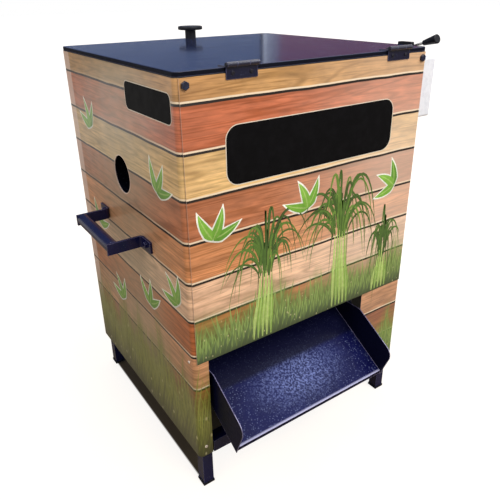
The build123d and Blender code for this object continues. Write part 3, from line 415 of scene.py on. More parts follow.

# %% [markdown]
# Now the film itself. Vinyl film is calendered smooth and laminated with a clear layer, so it gives an even
# shine, and its highlights follow the slow waves of the thin sheet below. The front, the sides and the right
# panel each have their own grass and their own share of painted sheen.

# %% The film on the panels
def printed_film(name, ground, tall, mass_colour, blade_rows, painted_sheen, painted_edge_light=0.0):
    """Glossy printed vinyl film on steel, with grass from the ground up and as tall as given."""
    made, tree, place = start(name)
    where = add(tree, "SeparateXYZ", {0: place}).node.outputs
    along = add(tree, "Math", {0: where[0], 1: where[1]}, operation="SUBTRACT")
    aside = add(tree, "Math", {0: where[0]}, operation="ABSOLUTE")
    colour, grain, share = boards(tree, along, where[2])
    colour = wood_grain(tree, colour, grain)
    colour = painted_sheen_and_haze(tree, colour, where, painted_sheen)
    colour = painted_corner_highlight(tree, colour, aside, where[1])
    colour = joints(tree, colour, along, share)
    colour, up, swell, cover = grass_mass(tree, colour, along, where[2], ground, tall, mass_colour)
    colour = grass_blades(tree, colour, along, up, swell, blade_rows)
    colour = seed_heads(tree, colour, along, where[2], cover, tall)
    colour = bare_parts(tree, colour, place, aside, painted_edge_light)
    smear = add(tree, "TexNoise", {"Vector": place, "Scale": per_metre(40), "Detail": 4.0})
    gloss = add(tree, "MapRange", {0: smear, 1: 0.3, 2: 0.7, 3: 0.28, 4: 0.42})
    waves = add(tree, "TexNoise", {"Vector": place, "Scale": per_metre(170), "Detail": 1.0})
    peel = add(tree, "TexNoise", {"Vector": place, "Scale": per_metre(2.5), "Detail": 2.0})
    end(tree, ((waves, 0.9), (peel, 0.02)), Base_Color=colour, Roughness=gloss,
        Coat_Weight=0.35, Coat_Roughness=0.12)
    return made


# the front has the strongest painted sheen, and painted light on its upright edges
film_front = printed_film("printed vinyl film, front", front_low[2], 0.15, "#74914a", FRONT_BLADES, 0.5, 0.35)
film_side = printed_film("printed vinyl film, sides", left_low[2], 0.3, "#68742e", SIDE_BLADES, 0.1)
film_right = printed_film("printed vinyl film, right", left_low[2], 0.2, "#74963c", FRONT_BLADES, 0.1)
print("film on", [name for name in nodes if name.endswith("_panel")])

# %% [markdown]
# ## Enamel and hammertone
# Lid, frame, handles and hinges are sprayed with dark navy enamel and baked, which leaves a wet gloss with a
# faint orange peel. Sharp edges show a paler line, partly paint rubbed thin there and partly a painted
# highlight. An edge is where the eased normal turns away from the true one. The upright sides can be darkened
# with painted shade.

# %% Navy enamel
def rubbed_and_highlit_edges(tree, colour, worn, radius_mm):
    """Mixes the worn colour in along the sharp edges, as rubbed paint and a painted highlight."""
    eased = add(tree, "Bevel", {"Radius": radius_mm * MM}, samples=6)
    plain = add(tree, "NewGeometry", give="True Normal")
    alike = add(tree, "VectorMath", {0: eased, 1: plain}, "Value", operation="DOT_PRODUCT")
    edge = add(tree, "MapRange", {0: alike, 1: 0.98, 2: 0.86, 3: 0.0, 4: 0.8})
    return add(tree, "Mix", {0: edge, 6: colour, 7: worn}, 2, data_type="RGBA")


def navy_enamel(name, colour, dust, shine, coat, rim=0.0):
    """Sprayed and baked enamel: glossy, with orange peel, fine dust and rub marks; rim sets the painted shade
    on its upright sides.
    """
    made, tree, place = start(name)
    body = wear(tree, place, linear(colour), linear("#39456a"), dust, 60)
    grit = add(tree, "TexNoise", {"Vector": place, "Scale": per_metre(2), "Detail": 2.0})
    flecks = add(tree, "MapRange", {0: grit, 1: 0.66, 2: 0.74, 3: 0.0, 4: 0.3})
    body = add(tree, "Mix", {0: flecks, 6: body, 7: linear("#7480a0")}, 2, data_type="RGBA")
    # painted shade darkens the upright sides, which are also left duller and without coat
    turned = add(tree, "SeparateXYZ", {0: add(tree, "NewGeometry", give="True Normal")}).node.outputs[2]
    painted_side_shade = add(tree, "MapRange", {0: turned, 1: 0.6, 2: 0.3, 3: 0.0, 4: rim})
    body = add(tree, "Mix", {0: painted_side_shade, 6: body, 7: linear("#04050c")}, 2, data_type="RGBA")
    # pale edges: rubbed paint and a painted highlight
    body = rubbed_and_highlit_edges(tree, body, linear("#6a6d98"), 1.5)
    # a cloth leaves rub marks about 111 mm long and 6 mm wide
    rub_scale = (per_metre(111.1), per_metre(6.25), per_metre(111.1))
    rub = add(tree, "Mapping", {"Vector": place, "Scale": rub_scale, "Rotation": (0.0, 0.0, 0.5)})
    smear = add(tree, "TexNoise", {"Vector": rub, "Scale": 1.0, "Detail": 4.0})
    gloss = add(tree, "MapRange", {0: smear, 1: 0.3, 2: 0.75, 3: 0.1, 4: 0.26})
    gloss = add(tree, "Math", {0: painted_side_shade, 1: 0.6, 2: gloss}, operation="MULTIPLY_ADD")
    coated = add(tree, "MapRange", {0: painted_side_shade, 3: coat, 4: 0.0})
    waves = add(tree, "TexNoise", {"Vector": place, "Scale": per_metre(90), "Detail": 1.0})
    peel = add(tree, "TexNoise", {"Vector": place, "Scale": per_metre(3), "Detail": 2.0})
    end(tree, ((waves, 0.25), (peel, 0.03)), 1.2, Base_Color=body, Roughness=gloss,
        Specular_IOR_Level=shine, Coat_Weight=coated, Coat_Roughness=0.06)
    return made


# the lid is polished and lies open to dust, so it mirrors the room in a greyer blue than the frame; its upright
# sides carry painted shade
lid_enamel = navy_enamel("navy enamel, lid", "#1a2140", 0.3, 0.08, 0.4, 0.9)
# the frame is handled and scuffed, so its blue is deep and its shine low
frame_enamel = navy_enamel("navy enamel, frame", "#0c0e3c", 0.08, 0.24, 0.05)
# the chute is a darker navy than the frame; the cane tubes are nearly black, a painted shade inside the holes
chute_enamel = navy_enamel("navy enamel, chute", "#0a0c28", 0.1, 0.2, 0.0)
tube_shade_enamel = navy_enamel("navy enamel, cane tubes", "#05060e", 0.05, 0.1, 0.0)
# the hinges got two coats, so their knuckles catch a line of light
hinge_enamel = navy_enamel("navy enamel, hinges", "#0c0e2c", 0.1, 0.4, 0.6)
print("enamels:", lid_enamel.name, frame_enamel.name, hinge_enamel.name)

# %% [markdown]
# The tray has hammer-finish enamel. Silicone in the paint pulls it into dimples about 4 mm across as it dries,
# and the aluminium flakes in it gather into small bright points, so the light breaks into sparkles. The middle
# of its floor carries a painted sheen with dense grains, and behind it lies a painted shadow of the front
# panel. Its walls are darkened with painted shade, and its lip has a painted highlight.

# %% Hammertone on the tray
# where the painted shadow of the front panel begins, and the place and reach of the painted sheen
PANEL_SHADOW_FROM = front_low[1] + 18 * MM
LIP_PLACE = left_low[1] - 80.5 * MM
SHEEN_PLACE = (-41.67 * MM, -257.14 * MM)
SHEEN_REACH = (166.67 * MM, 71.43 * MM)


def painted_floor_sheen(tree, place, body):
    """Paints a sheen: brightens a grainy patch in the middle of the tray's floor."""
    scale = (1 / SHEEN_REACH[0], 1 / SHEEN_REACH[1], 0.0)
    shift = (-SHEEN_PLACE[0] * scale[0], -SHEEN_PLACE[1] * scale[1], 0.0)
    middle = add(tree, "Mapping", {"Vector": place, "Location": shift, "Scale": scale})
    off = add(tree, "VectorMath", {0: middle}, "Value", operation="LENGTH")
    sheen_patch = add(tree, "MapRange", {0: off, 1: 1.0, 2: 0.1, 3: 0.0, 4: 1.0}, interpolation_type="SMOOTHSTEP")
    grains = add(tree, "TexNoise", {"Vector": place, "Scale": per_metre(4.5), "Detail": 5.0})
    dense = add(tree, "MapRange", {0: grains, 1: 0.44, 2: 0.64, 3: 0.05, 4: 0.65})
    dense = add(tree, "Math", {0: dense, 1: sheen_patch}, operation="MULTIPLY")
    return add(tree, "Mix", {0: dense, 6: body, 7: linear("#8c9ce0")}, 2, data_type="RGBA")


def hammertone(name):
    """Hammer-finish enamel: dimples, flakes, a painted sheen on the floor, a painted shadow behind the front
    panel, painted shade on the walls and a painted highlight on the lip.
    """
    made, tree, place = start(name)
    dimples = add(tree, "TexVoronoi", {"Vector": place, "Scale": per_metre(4)}, feature="SMOOTH_F1")
    patches = add(tree, "TexNoise", {"Vector": place, "Scale": per_metre(70), "Detail": 3.0})
    body = add(tree, "ValToRGB", {"Fac": patches}, stops=((0.3, "#0b0e40"), (0.7, "#13184e")))
    flakes = add(tree, "TexVoronoi", {"Vector": place, "Scale": per_metre(3.2)}).node.outputs
    few = add(tree, "MapRange", {0: flakes["Color"], 1: 0.55, 2: 0.85, 3: 0.0, 4: 0.6})
    small = add(tree, "MapRange", {0: flakes["Distance"], 1: 0.5, 2: 0.1})
    flake = add(tree, "Math", {0: few, 1: small}, operation="MULTIPLY")
    body = add(tree, "Mix", {0: flake, 6: body, 7: linear("#8f9dd0")}, 2, data_type="RGBA")
    body = painted_floor_sheen(tree, place, body)
    depth = add(tree, "SeparateXYZ", {0: place}).node.outputs[1]
    # painted shadow of the front panel over the back of the floor
    dirt_and_shadow = add(tree, "MapRange", {0: depth, 1: PANEL_SHADOW_FROM, 2: PANEL_SHADOW_FROM + 12 * MM, 3: 0.0, 4: 0.85},
                 interpolation_type="SMOOTHSTEP")
    body = add(tree, "Mix", {0: dirt_and_shadow, 6: body, 7: linear("#090b24")}, 2, data_type="RGBA")
    # the walls are darkened as painted shade
    turned = add(tree, "SeparateXYZ", {0: add(tree, "NewGeometry", give="True Normal")}).node.outputs[2]
    wall_shade = add(tree, "MapRange", {0: turned, 1: 0.6, 2: 0.4})
    body = add(tree, "Mix", {0: wall_shade, 6: body, 7: linear("#0a0c26")}, 2, data_type="RGBA")
    # painted highlight along the lip
    lip_highlight = add(tree, "MapRange", {0: depth, 1: LIP_PLACE + 5 * MM, 2: LIP_PLACE + 1.5 * MM, 3: 0.0, 4: 0.9})
    level = add(tree, "Math", {0: 1.0, 1: wall_shade}, operation="SUBTRACT")
    lip_highlight = add(tree, "Math", {0: lip_highlight, 1: level}, operation="MULTIPLY")
    body = add(tree, "Mix", {0: lip_highlight, 6: body, 7: linear("#b9bbe0")}, 2, data_type="RGBA")
    body = rubbed_and_highlit_edges(tree, body, linear("#a6a2cc"), 2.5)
    gloss = add(tree, "MapRange", {0: patches, 1: 0.3, 2: 0.7, 3: 0.3, 4: 0.42})
    end(tree, ((dimples, 0.35),), 1.5, Base_Color=body, Roughness=gloss, Specular_IOR_Level=0.08)
    return made


tray_enamel = hammertone("navy hammertone enamel")
print("tray in", tray_enamel.name)

# %% [markdown]
# ## Plastics and rubber
# Plastic pieces are injection moulded, so their skin repeats the mould's: a fine spark-eroded grain on grips, a
# polish on covers. Rubber is duller and chalky. One function makes them all, since only colour, grain, shine
# and dirt differ. Grain finer than a millimetre is drawn at about one, or it would not show.

# %% Plastics and rubber
def moulded(name, colour, dirt_and_shadow, roughness, grain_mm, depth_mm, soil=0.35, shine=0.5):
    """Moulded plastic or rubber: the mould's fine texture, and soft patches of wear."""
    made, tree, place = start(name)
    body = wear(tree, place, linear(colour), linear(dirt_and_shadow), soil, 14)
    grain = add(tree, "TexNoise", {"Vector": place, "Scale": per_metre(grain_mm), "Detail": 3.0})
    tint = add(tree, "MapRange", {0: grain, 1: 0.3, 2: 0.7, 3: 0.92, 4: 1.06})
    body = add(tree, "HueSaturation", {"Color": body, "Value": tint})
    smear = add(tree, "TexNoise", {"Vector": place, "Scale": per_metre(20), "Detail": 4.0})
    gloss = add(tree, "MapRange", {0: smear, 3: roughness - 0.1, 4: roughness + 0.12})
    end(tree, ((grain, depth_mm),), 0.8, Base_Color=body, Roughness=gloss, Specular_IOR_Level=shine)
    return made


# knob, grip and feet: a spark-eroded mould gives a satin black that barely shines
black_plastic = moulded("black moulded plastic", "#0b0d15", "#1d2030", 0.42, 0.9, 0.03, shine=0.2)
# switch box: a polished mould gives a smooth cool white, with a little handling dirt
white_plastic = moulded("white moulded plastic", "#eef2fc", "#ccd2e0", 0.35, 1.0, 0.02, 0.5)
# breaker: pressed from filled resin, so an even grey with soft highlights
grey_plastic = moulded("grey breaker plastic", "#c3c6c8", "#8f9294", 0.4, 0.8, 0.02)
# toggle: fingers have polished it, so its black is glossier than the knob's
toggle_plastic = moulded("black toggle plastic", "#101114", "#303138", 0.25, 0.8, 0.01)
# lid seal and belt: extruded rubber with an open skin, so dull with coarse pores
seal_rubber = moulded("black cellular rubber", "#141414", "#2b2a29", 0.75, 1.4, 0.1)
# rollers: hard rubber ground on a lathe and stained by juice, so dull and brownish in patches
roller_rubber = moulded("ground roller rubber", "#2a2725", "#6e604c", 0.7, 2.0, 0.06, 0.6)
print("plastics and rubber:", black_plastic.name, white_plastic.name, roller_rubber.name)

# %% [markdown]
# ## Metals
# Each metal keeps the mark of how it was worked: lathe rings on turned shafts, rolled lines on sheet, spangle
# on zinc, sand texture on castings. The marks are noise that is stretched along the way of the tool. Bare
# metals are fully metallic and take their colour from the metal; oxide and paint hide part of it or all.

# %% Metals
def worked_metal(name, colour, tarnish, roughness, marks_mm, depth_mm, metallic=1.0):
    """Metal with tool marks, whose sizes along X, Y and Z are given in mm."""
    made, tree, place = start(name)
    body = wear(tree, place, linear(colour), linear(tarnish), 0.4, 18)
    marks_place = add(tree, "Mapping", {"Vector": place, "Scale": [per_metre(size) for size in marks_mm]})
    marks = add(tree, "TexNoise", {"Vector": marks_place, "Scale": 1.0, "Detail": 4.0})
    gloss = add(tree, "MapRange", {0: marks, 1: 0.3, 2: 0.7, 3: roughness - 0.08, 4: roughness + 0.12})
    tint = add(tree, "MapRange", {0: marks, 1: 0.3, 2: 0.7, 3: 0.86, 4: 1.06})
    body = add(tree, "HueSaturation", {"Color": body, "Value": tint})
    end(tree, ((marks, depth_mm),), 0.5, Base_Color=body, Roughness=gloss, Metallic=metallic)
    return made


# hinge pins and screws: a hot bath leaves a thin black oxide that still glints
black_oxide = worked_metal("blackened steel", "#23222c", "#14131a", 0.4, (3.85, 3.85, 3.85), 0.02, 0.6)
# bolts: electroplated, so bright with a faint spangle
zinc = worked_metal("bright zinc plate", "#c9ccd0", "#8d8f92", 0.28, (3.85, 3.85, 3.85), 0.02)
# shafts: ground between centres, so rings round the axis draw the highlight out
ground_steel = worked_metal("ground steel", "#c6c5c2", "#7d7467", 0.24, (1.43, 33.3, 33.3), 0.01)
# chamber plates: brushed along one way, so the shine is smeared across the lines
stainless = worked_metal("brushed stainless sheet", "#c2c3c4", "#9a938a", 0.3, (2.5, 71.4, 2.5), 0.02)
# brush: drawn and crimped wire with juice dried on it, so glints among brown
brush_wire = worked_metal("crimped steel wire", "#a5a19a", "#5f4f3e", 0.34, (3.33, 1.11, 1.11), 0.02)
# drum: turned on a lathe, so fine rings on a pale soft metal
turned_alloy = worked_metal("turned alloy", "#b9bbbd", "#8a8a88", 0.3, (1.11, 50, 50), 0.02)
# bearing blocks and pulleys: cast in sand and painted, so coarse and half dull
cast_iron = worked_metal("painted cast iron", "#4b5357", "#2e3234", 0.5, (2.63, 2.63, 2.63), 0.15, 0.1)
# bushes: pressed from powder, so matt with a warm colour
bronze = worked_metal("sintered bronze", "#b58a4c", "#7c5a2d", 0.4, (2, 2, 2), 0.03)
# motor and arms: sprayed over castings, so an even soft shine and no metal to be seen
machine_paint = worked_metal("grey-green machine paint", "#5f757c", "#46575c", 0.42, (4.55, 4.55, 4.55), 0.05,
                             metallic=0.0)
print("metals:", black_oxide.name, zinc.name, ground_steel.name, stainless.name)

# %% [markdown]
# The panel screws are zinc plated too. Those near the lid are sprayed navy and show as dark points with a
# glint; the lower ones are bare and pale. Height alone tells them apart, so one material serves them all.

# %% Panel screws
SPRAYED_FROM = 500 * MM
BARE_TO = 450 * MM


def painted_screws(name):
    """Zinc-plated screws, bare low down and sprayed navy near the lid."""
    made, tree, place = start(name)
    height = add(tree, "SeparateXYZ", {0: place}).node.outputs[2]
    bare = add(tree, "MapRange", {0: height, 1: SPRAYED_FROM, 2: BARE_TO})
    paint = wear(tree, place, linear("#0a0c28"), linear("#39456a"), 0.2, 6)
    plating = wear(tree, place, linear("#e6dcd2"), linear("#a39a90"), 0.4, 3)
    body = add(tree, "Mix", {0: bare, 6: paint, 7: plating}, 2, data_type="RGBA")
    peel = add(tree, "TexNoise", {"Vector": place, "Scale": per_metre(2), "Detail": 3.0})
    gloss = add(tree, "MapRange", {0: peel, 1: 0.3, 2: 0.7, 3: 0.18, 4: 0.36})
    metal = add(tree, "Math", {0: bare, 1: 0.3}, operation="MULTIPLY")
    end(tree, ((peel, 0.03),), 0.6, Base_Color=body, Roughness=gloss, Metallic=metal)
    return made


screw_plating = painted_screws("zinc plate, sprayed near the lid")
print("panel screws in", screw_plating.name)

# %% [markdown]
# Every node of the frame names the kind of finish it carries. We give each kind its material here, and a few
# nodes one of their own: the hinges shine more than the frame, the tray is hammer-finished, the cane tubes
# carry painted shade, and the front and right panels have their own grass and painted sheen.

# %% Finishes on the nodes
FINISH_OF_SLOT = {
    "printed_steel": film_side, "navy_enamel": frame_enamel, "black_plastic": black_plastic,
    "white_plastic": white_plastic, "breaker_plastic": grey_plastic, "toggle_plastic": toggle_plastic,
    "rubber": seal_rubber, "roller_rubber": roller_rubber, "zinc_plate": zinc, "bright_steel": ground_steel,
    "stainless_sheet": stainless, "brush_wire": brush_wire, "brush_body": turned_alloy,
    "cast_iron": cast_iron, "bronze": bronze, "motor_paint": machine_paint}
OWN_FINISH = {
    "front_panel": film_front, "right_panel": film_right, "lid": lid_enamel, "discharge_tray": tray_enamel,
    "inner_chute": chute_enamel, "inlet_tube": tube_shade_enamel, "outlet_tube": tube_shade_enamel,
    "hinge_front_leaves": hinge_enamel, "hinge_lid_leaves": hinge_enamel, "hinge_pins": black_oxide,
    "hinge_front_screws": black_oxide, "hinge_lid_screws": black_oxide,
    "handle_bolts": frame_enamel, "panel_screws": screw_plating}
for part in frame["record"]["subparts"]:
    node = nodes[part["node"]]
    node.data.materials.clear()
    node.data.materials.append(OWN_FINISH.get(part["node"], FINISH_OF_SLOT[part["material_slot"]]))

# %% [markdown]
# ## Thin printed pieces
# Black plates and printed leaves lie on the film, each cut from vinyl a fraction of a millimetre thick. They
# could be drawn in the film's material, but as closed thin solids they have a true edge that catches light.

# %% A closed piece that rides on a body
def solid(name, points, faces, material, body, slot, marks=None):
    """A closed mesh piece that rides on a body; marks are the (across, along) places of its points."""
    mesh = bpy.data.meshes.new(name)
    mesh.from_pydata(points, [], faces)
    mesh.materials.append(material)
    if marks:
        layer = mesh.uv_layers.new(name="leaf")
        for loop in mesh.loops:
            layer.data[loop.index].uv = marks[loop.vertex_index]
    piece = bpy.data.objects.new(name, mesh)
    bpy.context.collection.objects.link(piece)
    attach(piece, body)
    return piece


print("pieces are made by", solid.__name__)

# %% [markdown]
# Three small functions turn a place on a panel, as seen from outside, into a point of the scene. So an outline
# is drawn flat, and the panel it goes on is chosen last.

# %% Places on the panels
def on_front(across, height, lift):
    """A point lifted off the front panel; across runs to the right as seen from outside."""
    return (across, front_low[1] - lift, height)


def on_left(across, height, lift):
    """A point lifted off the left panel; across runs to the right as seen from outside."""
    return (left_low[0] - lift, -across, height)


def on_right(across, height, lift):
    """A point lifted off the right panel; across runs to the right as seen from outside."""
    return (-left_low[0] + lift, across, height)


print("the front panel's middle:", on_front(0.0, CABINET_MIDDLE[2], 0.0))

# %% [markdown]
# The wide plate on the front and the small one on the left side are plain black vinyl with a pale border. A
# plate is its outline, lifted twice, with walls between; the border is a plate with a hole.

# %% Outlines and plates
def rounded(low, high, radius, steps=8):
    """The outline of a rectangle with round corners, anticlockwise."""
    outline = []
    corners = ((high[0], high[1], 0), (low[0], high[1], 90), (low[0], low[1], 180), (high[0], low[1], 270))
    for across, height, first in corners:
        centre = (across - math.copysign(radius, across - (low[0] + high[0]) / 2),
                  height - math.copysign(radius, height - (low[1] + high[1]) / 2))
        for step in range(steps + 1):
            angle = math.radians(first + 90 * step / steps)
            outline.append((centre[0] + radius * math.cos(angle), centre[1] + radius * math.sin(angle)))
    return outline


def plate(name, outline, side, lift, thick, material, hole=None):
    """A thin plate cut to an outline, with a hole of as many corners if one is given."""
    count = len(outline)
    around = [(index, (index + 1) % count) for index in range(count)]
    points = [side(*corner, height) for height in (lift, lift + thick) for corner in outline]
    faces = [(a, b, b + count, a + count) for a, b in around]
    if hole:
        points += [side(*corner, height) for height in (lift, lift + thick) for corner in hole]
        faces += [(b + 2 * count, a + 2 * count, a + 3 * count, b + 3 * count) for a, b in around]
        faces += [(a + count, b + count, b + 3 * count, a + 3 * count) for a, b in around]
        faces += [(b, a, a + 2 * count, b + 2 * count) for a, b in around]
    else:
        faces += [tuple(range(count, 2 * count)), tuple(reversed(range(count)))]
    return solid(name, points, faces, material, "cabinet", "printed_steel")


print("plates are cut by", plate.__name__)

# %% [markdown]
# The plates' ink is screen printed and matt, so it stays a flat black beside the glossy film; the border is the
# pale vinyl left round it. Each plate has its side, two corners and the radius of its corners.

# %% Black plates
plate_black = moulded("black printed vinyl", "#0a0a0c", "#18181b", 0.5, 3.0, 0.02, shine=0.05)
plate_pale = moulded("pale printed vinyl", "#e9dfcf", "#c8b9a4", 0.35, 3.0, 0.02)
PLATES = {"front_plate": (on_front, (-0.2125, 0.708), (0.2095, 0.8195), 0.027),
          "left_plate": (on_left, (0.0334, 0.8265), (0.2255, 0.881), 0.013)}
BORDER = 1.6 * MM
PLATE_LIFT = 0.05 * MM
for name, (side, low, high, radius) in PLATES.items():
    inner_low = (low[0] + BORDER, low[1] + BORDER)
    inner_high = (high[0] - BORDER, high[1] - BORDER)
    inner = rounded(inner_low, inner_high, radius - BORDER)
    plate(name, inner, side, PLATE_LIFT, 0.25 * MM, plate_black)
    plate(name + "_border", rounded(low, high, radius), side, PLATE_LIFT, 0.3 * MM, plate_pale, inner)
print("plates:", list(PLATES))

# %% [markdown]
# ## Printed plants
# Clumps of reed stand on the front, and sprays of three broad leaves with a white outline lie on the front and
# the sides. Their ink is translucent, so each leaf has its own shade, a pale midrib and a soft mottle, under
# the film's clear layer.

# %% Ink of the leaves
def leaf_print(name, inks, rib_colour):
    """Ink on the film: each leaf has its own shade of the inks, a pale midrib and a soft mottle."""
    made, tree, place = start(name)
    marks = add(tree, "SeparateXYZ", {0: add(tree, "UVMap", uv_map="leaf")}).node.outputs
    own = add(tree, "NewGeometry", give="Random Per Island")
    stops = [(index / (len(inks) - 1), ink) for index, ink in enumerate(inks)]
    shade = add(tree, "ValToRGB", {"Fac": own}, stops=stops)
    off_middle = add(tree, "Math", {0: marks[0], 1: 0.5}, operation="SUBTRACT")
    side = add(tree, "Math", {0: off_middle}, operation="ABSOLUTE")
    rib = add(tree, "MapRange", {0: side, 1: 0.03, 2: 0.12, 3: 0.55, 4: 0.0})
    shade = add(tree, "Mix", {0: rib, 6: shade, 7: linear(rib_colour)}, 2, data_type="RGBA")
    grow = add(tree, "MapRange", {0: marks[1], 3: 0.78, 4: 1.12})
    cloud = add(tree, "TexNoise", {"Vector": place, "Scale": per_metre(9), "Detail": 4.0})
    spots = add(tree, "MapRange", {0: cloud, 1: 0.3, 2: 0.7, 3: 0.86, 4: 1.1})
    value = add(tree, "Math", {0: grow, 1: spots}, operation="MULTIPLY")
    shade = add(tree, "HueSaturation", {"Color": shade, "Value": value})
    waves = add(tree, "TexNoise", {"Vector": place, "Scale": per_metre(170), "Detail": 1.0})
    end(tree, ((waves, 0.9),), Base_Color=shade, Roughness=0.34, Coat_Weight=0.35, Coat_Roughness=0.12)
    return made


reed_ink = leaf_print("dark green ink on film", ("#2c4519", "#41652a", "#557d30", "#7ba044"), "#6f9440")
stem_ink = leaf_print("light green ink on film", ("#93bd52", "#b4d470", "#cfe08f"), "#e3eeb4")
spray_ink = leaf_print("leaf green ink on film", ("#5f9a30", "#7cb83e", "#97cc52"), "#c6e28c")
white_ink = leaf_print("white ink on film", ("#f4f6ea", "#fbfcf6"), "#ffffff")
print("inks:", reed_ink.name, stem_ink.name, spray_ink.name, white_ink.name)

# %% [markdown]
# A leaf is a flat ribbon along a curve with four bends: it swells quickly from its stalk and narrows to a
# point. It could be a curve object with a bevel, but a closed ribbon keeps the places across and along it for
# the ink. In a group, each leaf lies a hair higher than the one before.

# %% Leaves
LEAF_THICK = 0.06 * MM
LEAF_STEP = 0.004 * MM


def leaf(bends, width, side, lift, steps=12):
    """The points, faces and marks of one leaf; bends are the four control points of its curve."""
    points, marks, faces = [], [], []
    top = lift + LEAF_THICK
    for step in range(steps + 1):
        t = step / steps
        shares = ((1 - t) ** 3, 3 * t * (1 - t) ** 2, 3 * t * t * (1 - t), t ** 3)
        slopes = (-(1 - t) ** 2, (1 - t) ** 2 - 2 * t * (1 - t), 2 * t * (1 - t) - t * t, t * t)
        centre = sum((Vector(bend) * share for bend, share in zip(bends, shares)), Vector((0, 0)))
        way = sum((Vector(bend) * slope for bend, slope in zip(bends, slopes)), Vector((0, 0))).normalized()
        half = width / 2 * max(0.04, min(1.0, 0.3 + 3 * t) * (1 - t ** 2.2))
        across = Vector((-way[1], way[0])) * half
        for place, mark, height in ((centre + across, 0, lift), (centre - across, 1, lift),
                                    (centre - across, 1, top), (centre + across, 0, top)):
            points.append(side(*place, height))
            marks.append((mark, t))
    for step in range(steps):
        base = 4 * step
        for edge in range(4):
            after = (edge + 1) % 4
            faces.append((base + edge, base + after, base + 4 + after, base + 4 + edge))
    faces += [(3, 2, 1, 0), tuple(4 * steps + edge for edge in range(4))]
    return points, faces, marks


def leaves(name, curves, side, ink, first_lift=0.05 * MM):
    """One printed group of leaves, laid one over the other; curves are (four bends, width)."""
    points, faces, marks = [], [], []
    for index, (bends, width) in enumerate(curves):
        more = leaf(bends, width, side, first_lift + LEAF_STEP * index)
        faces += [tuple(corner + len(points) for corner in face) for face in more[1]]
        points += more[0]
        marks += more[2]
    return solid(name, points, faces, ink, "cabinet", "printed_steel", marks)


print("leaves are cut by", leaf.__name__)

# %% [markdown]
# A clump of reed has light stems up to a crown, and thin leaves that arch out of the crown and hang. Chance
# gives each its own length and lean; its seed is fixed, so the clumps come out the same each time.

# %% Clumps of reed
chance = random.Random(7)


def reed(root, crown, spread, count, chance):
    """The curves of a clump's stems and of its leaves, which are shuffled so that no side lies on top."""
    stems, blades = [], []
    for index in range(5):
        foot = root[0] + (index - 2) * 11 * MM
        top = (crown[0] + (index - 2) * 7 * MM, crown[1] + chance.uniform(-0.03, 0.03))
        low = (foot, root[1] + 0.4 * (crown[1] - root[1]))
        stems.append((((foot, root[1]), low, (top[0], low[1]), top), chance.uniform(9, 12) * MM))
    for index in range(count):
        lean = spread * (2 * index / (count - 1) - 1)
        foot = (crown[0] + lean * 0.2, crown[1] + chance.uniform(-0.05, 0.02))
        rise = chance.uniform(0.06, 0.13) * (1 - 0.3 * abs(lean) / spread)
        tip = (foot[0] + lean * chance.uniform(0.8, 1.2), foot[1] + rise * chance.uniform(-1.1, 0.5))
        blades.append(((foot, (foot[0] + lean * 0.1, foot[1] + rise),
                        (foot[0] + lean * 0.75, foot[1] + rise * 1.3), tip), chance.uniform(5, 8) * MM))
    chance.shuffle(blades)
    return stems, blades


ground = front_low[2] + 4 * MM
# each clump: root, crown, spread and number of leaves
CLUMPS = (((-0.135, ground), (-0.125, 0.545), 0.085, 34), ((0.085, ground), (0.075, 0.575), 0.105, 44),
          ((0.215, ground), (0.218, 0.475), 0.05, 18))
for number, (root, crown, spread, count) in enumerate(CLUMPS):
    stems, blades = reed(root, crown, spread, count, chance)
    leaves("reed_stems_%d" % number, stems, on_front, stem_ink)
    leaves("reed_leaves_%d" % number, blades, on_front, reed_ink, 0.09 * MM)
print("clumps of reed:", len(CLUMPS))

# %% [markdown]
# A spray is three broad leaves in a fan. Its outline is the same spray, a little larger, in white ink below the
# green. Each spray has a place on its panel and the way it points, in degrees from upright.

# %% Sprays of three leaves
SPRAY_LENGTH = 62 * MM
OUTLINE = 3.5 * MM
SPRAYS = {"front": (on_front, ((-0.245, 0.615, 20), (0.235, 0.62, -60), (-0.02, 0.625, -25))),
          "left": (on_left, ((0.14, 0.69, 30), (-0.2, 0.75, -20), (0.19, 0.47, -40), (-0.22, 0.5, 25),
                             (0.05, 0.4, 10), (-0.12, 0.33, -30))),
          "right": (on_right, ((-0.12, 0.6, 30), (0.2, 0.75, -20), (-0.15, 0.43, 20), (0.22, 0.48, 25),
                               (0.0, 0.38, 10)))}


def spray(root, aim, length, larger=0.0):
    """Three broad leaves in a fan from one point; larger is how far an outline reaches past the leaf."""
    curves = []
    for turn in (-48, 48, 0):
        angle = math.radians(aim + turn)
        way = Vector((math.sin(angle), math.cos(angle)))
        bow = Vector((way[1], -way[0])) * math.copysign(0.08 * length, turn)
        foot = Vector(root) - way * larger
        tip = Vector(root) + way * (length + 2 * larger)
        bends = (foot, foot.lerp(tip, 0.3) + bow, foot.lerp(tip, 0.7) + bow, tip)
        curves.append((bends, 0.34 * length + 2 * larger))
    return curves


for name, (side, places) in SPRAYS.items():
    outlines = [curve for *root, aim in places for curve in spray(root, aim, SPRAY_LENGTH, OUTLINE)]
    leaves(name + "_spray_outlines", outlines, side, white_ink)
    greens = [curve for *root, aim in places for curve in spray(root, aim, SPRAY_LENGTH)]
    leaves(name + "_sprays", greens, side, spray_ink, 0.13 * MM)
print("sprays:", {name: len(places) for name, (_, places) in SPRAYS.items()})

# %% [markdown]
# ## The wire brush
# Inside, the drum carries twelve strips of steel wire pressed into a channel. Hair or copies of one wire could
# draw them, but one mesh of three-sided spikes exports as it is. The real wire is about 0.4 mm thick; it is
# drawn three times as thick here, or it would fall between the picture's points.

# %% One wire on the drum
strips_low, strips_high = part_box("brush_strips")
axis_y, axis_z = [(strips_low[i] + strips_high[i]) / 2 for i in (1, 2)]
BRUSH_RADIUS = (strips_high[2] - strips_low[2]) / 2


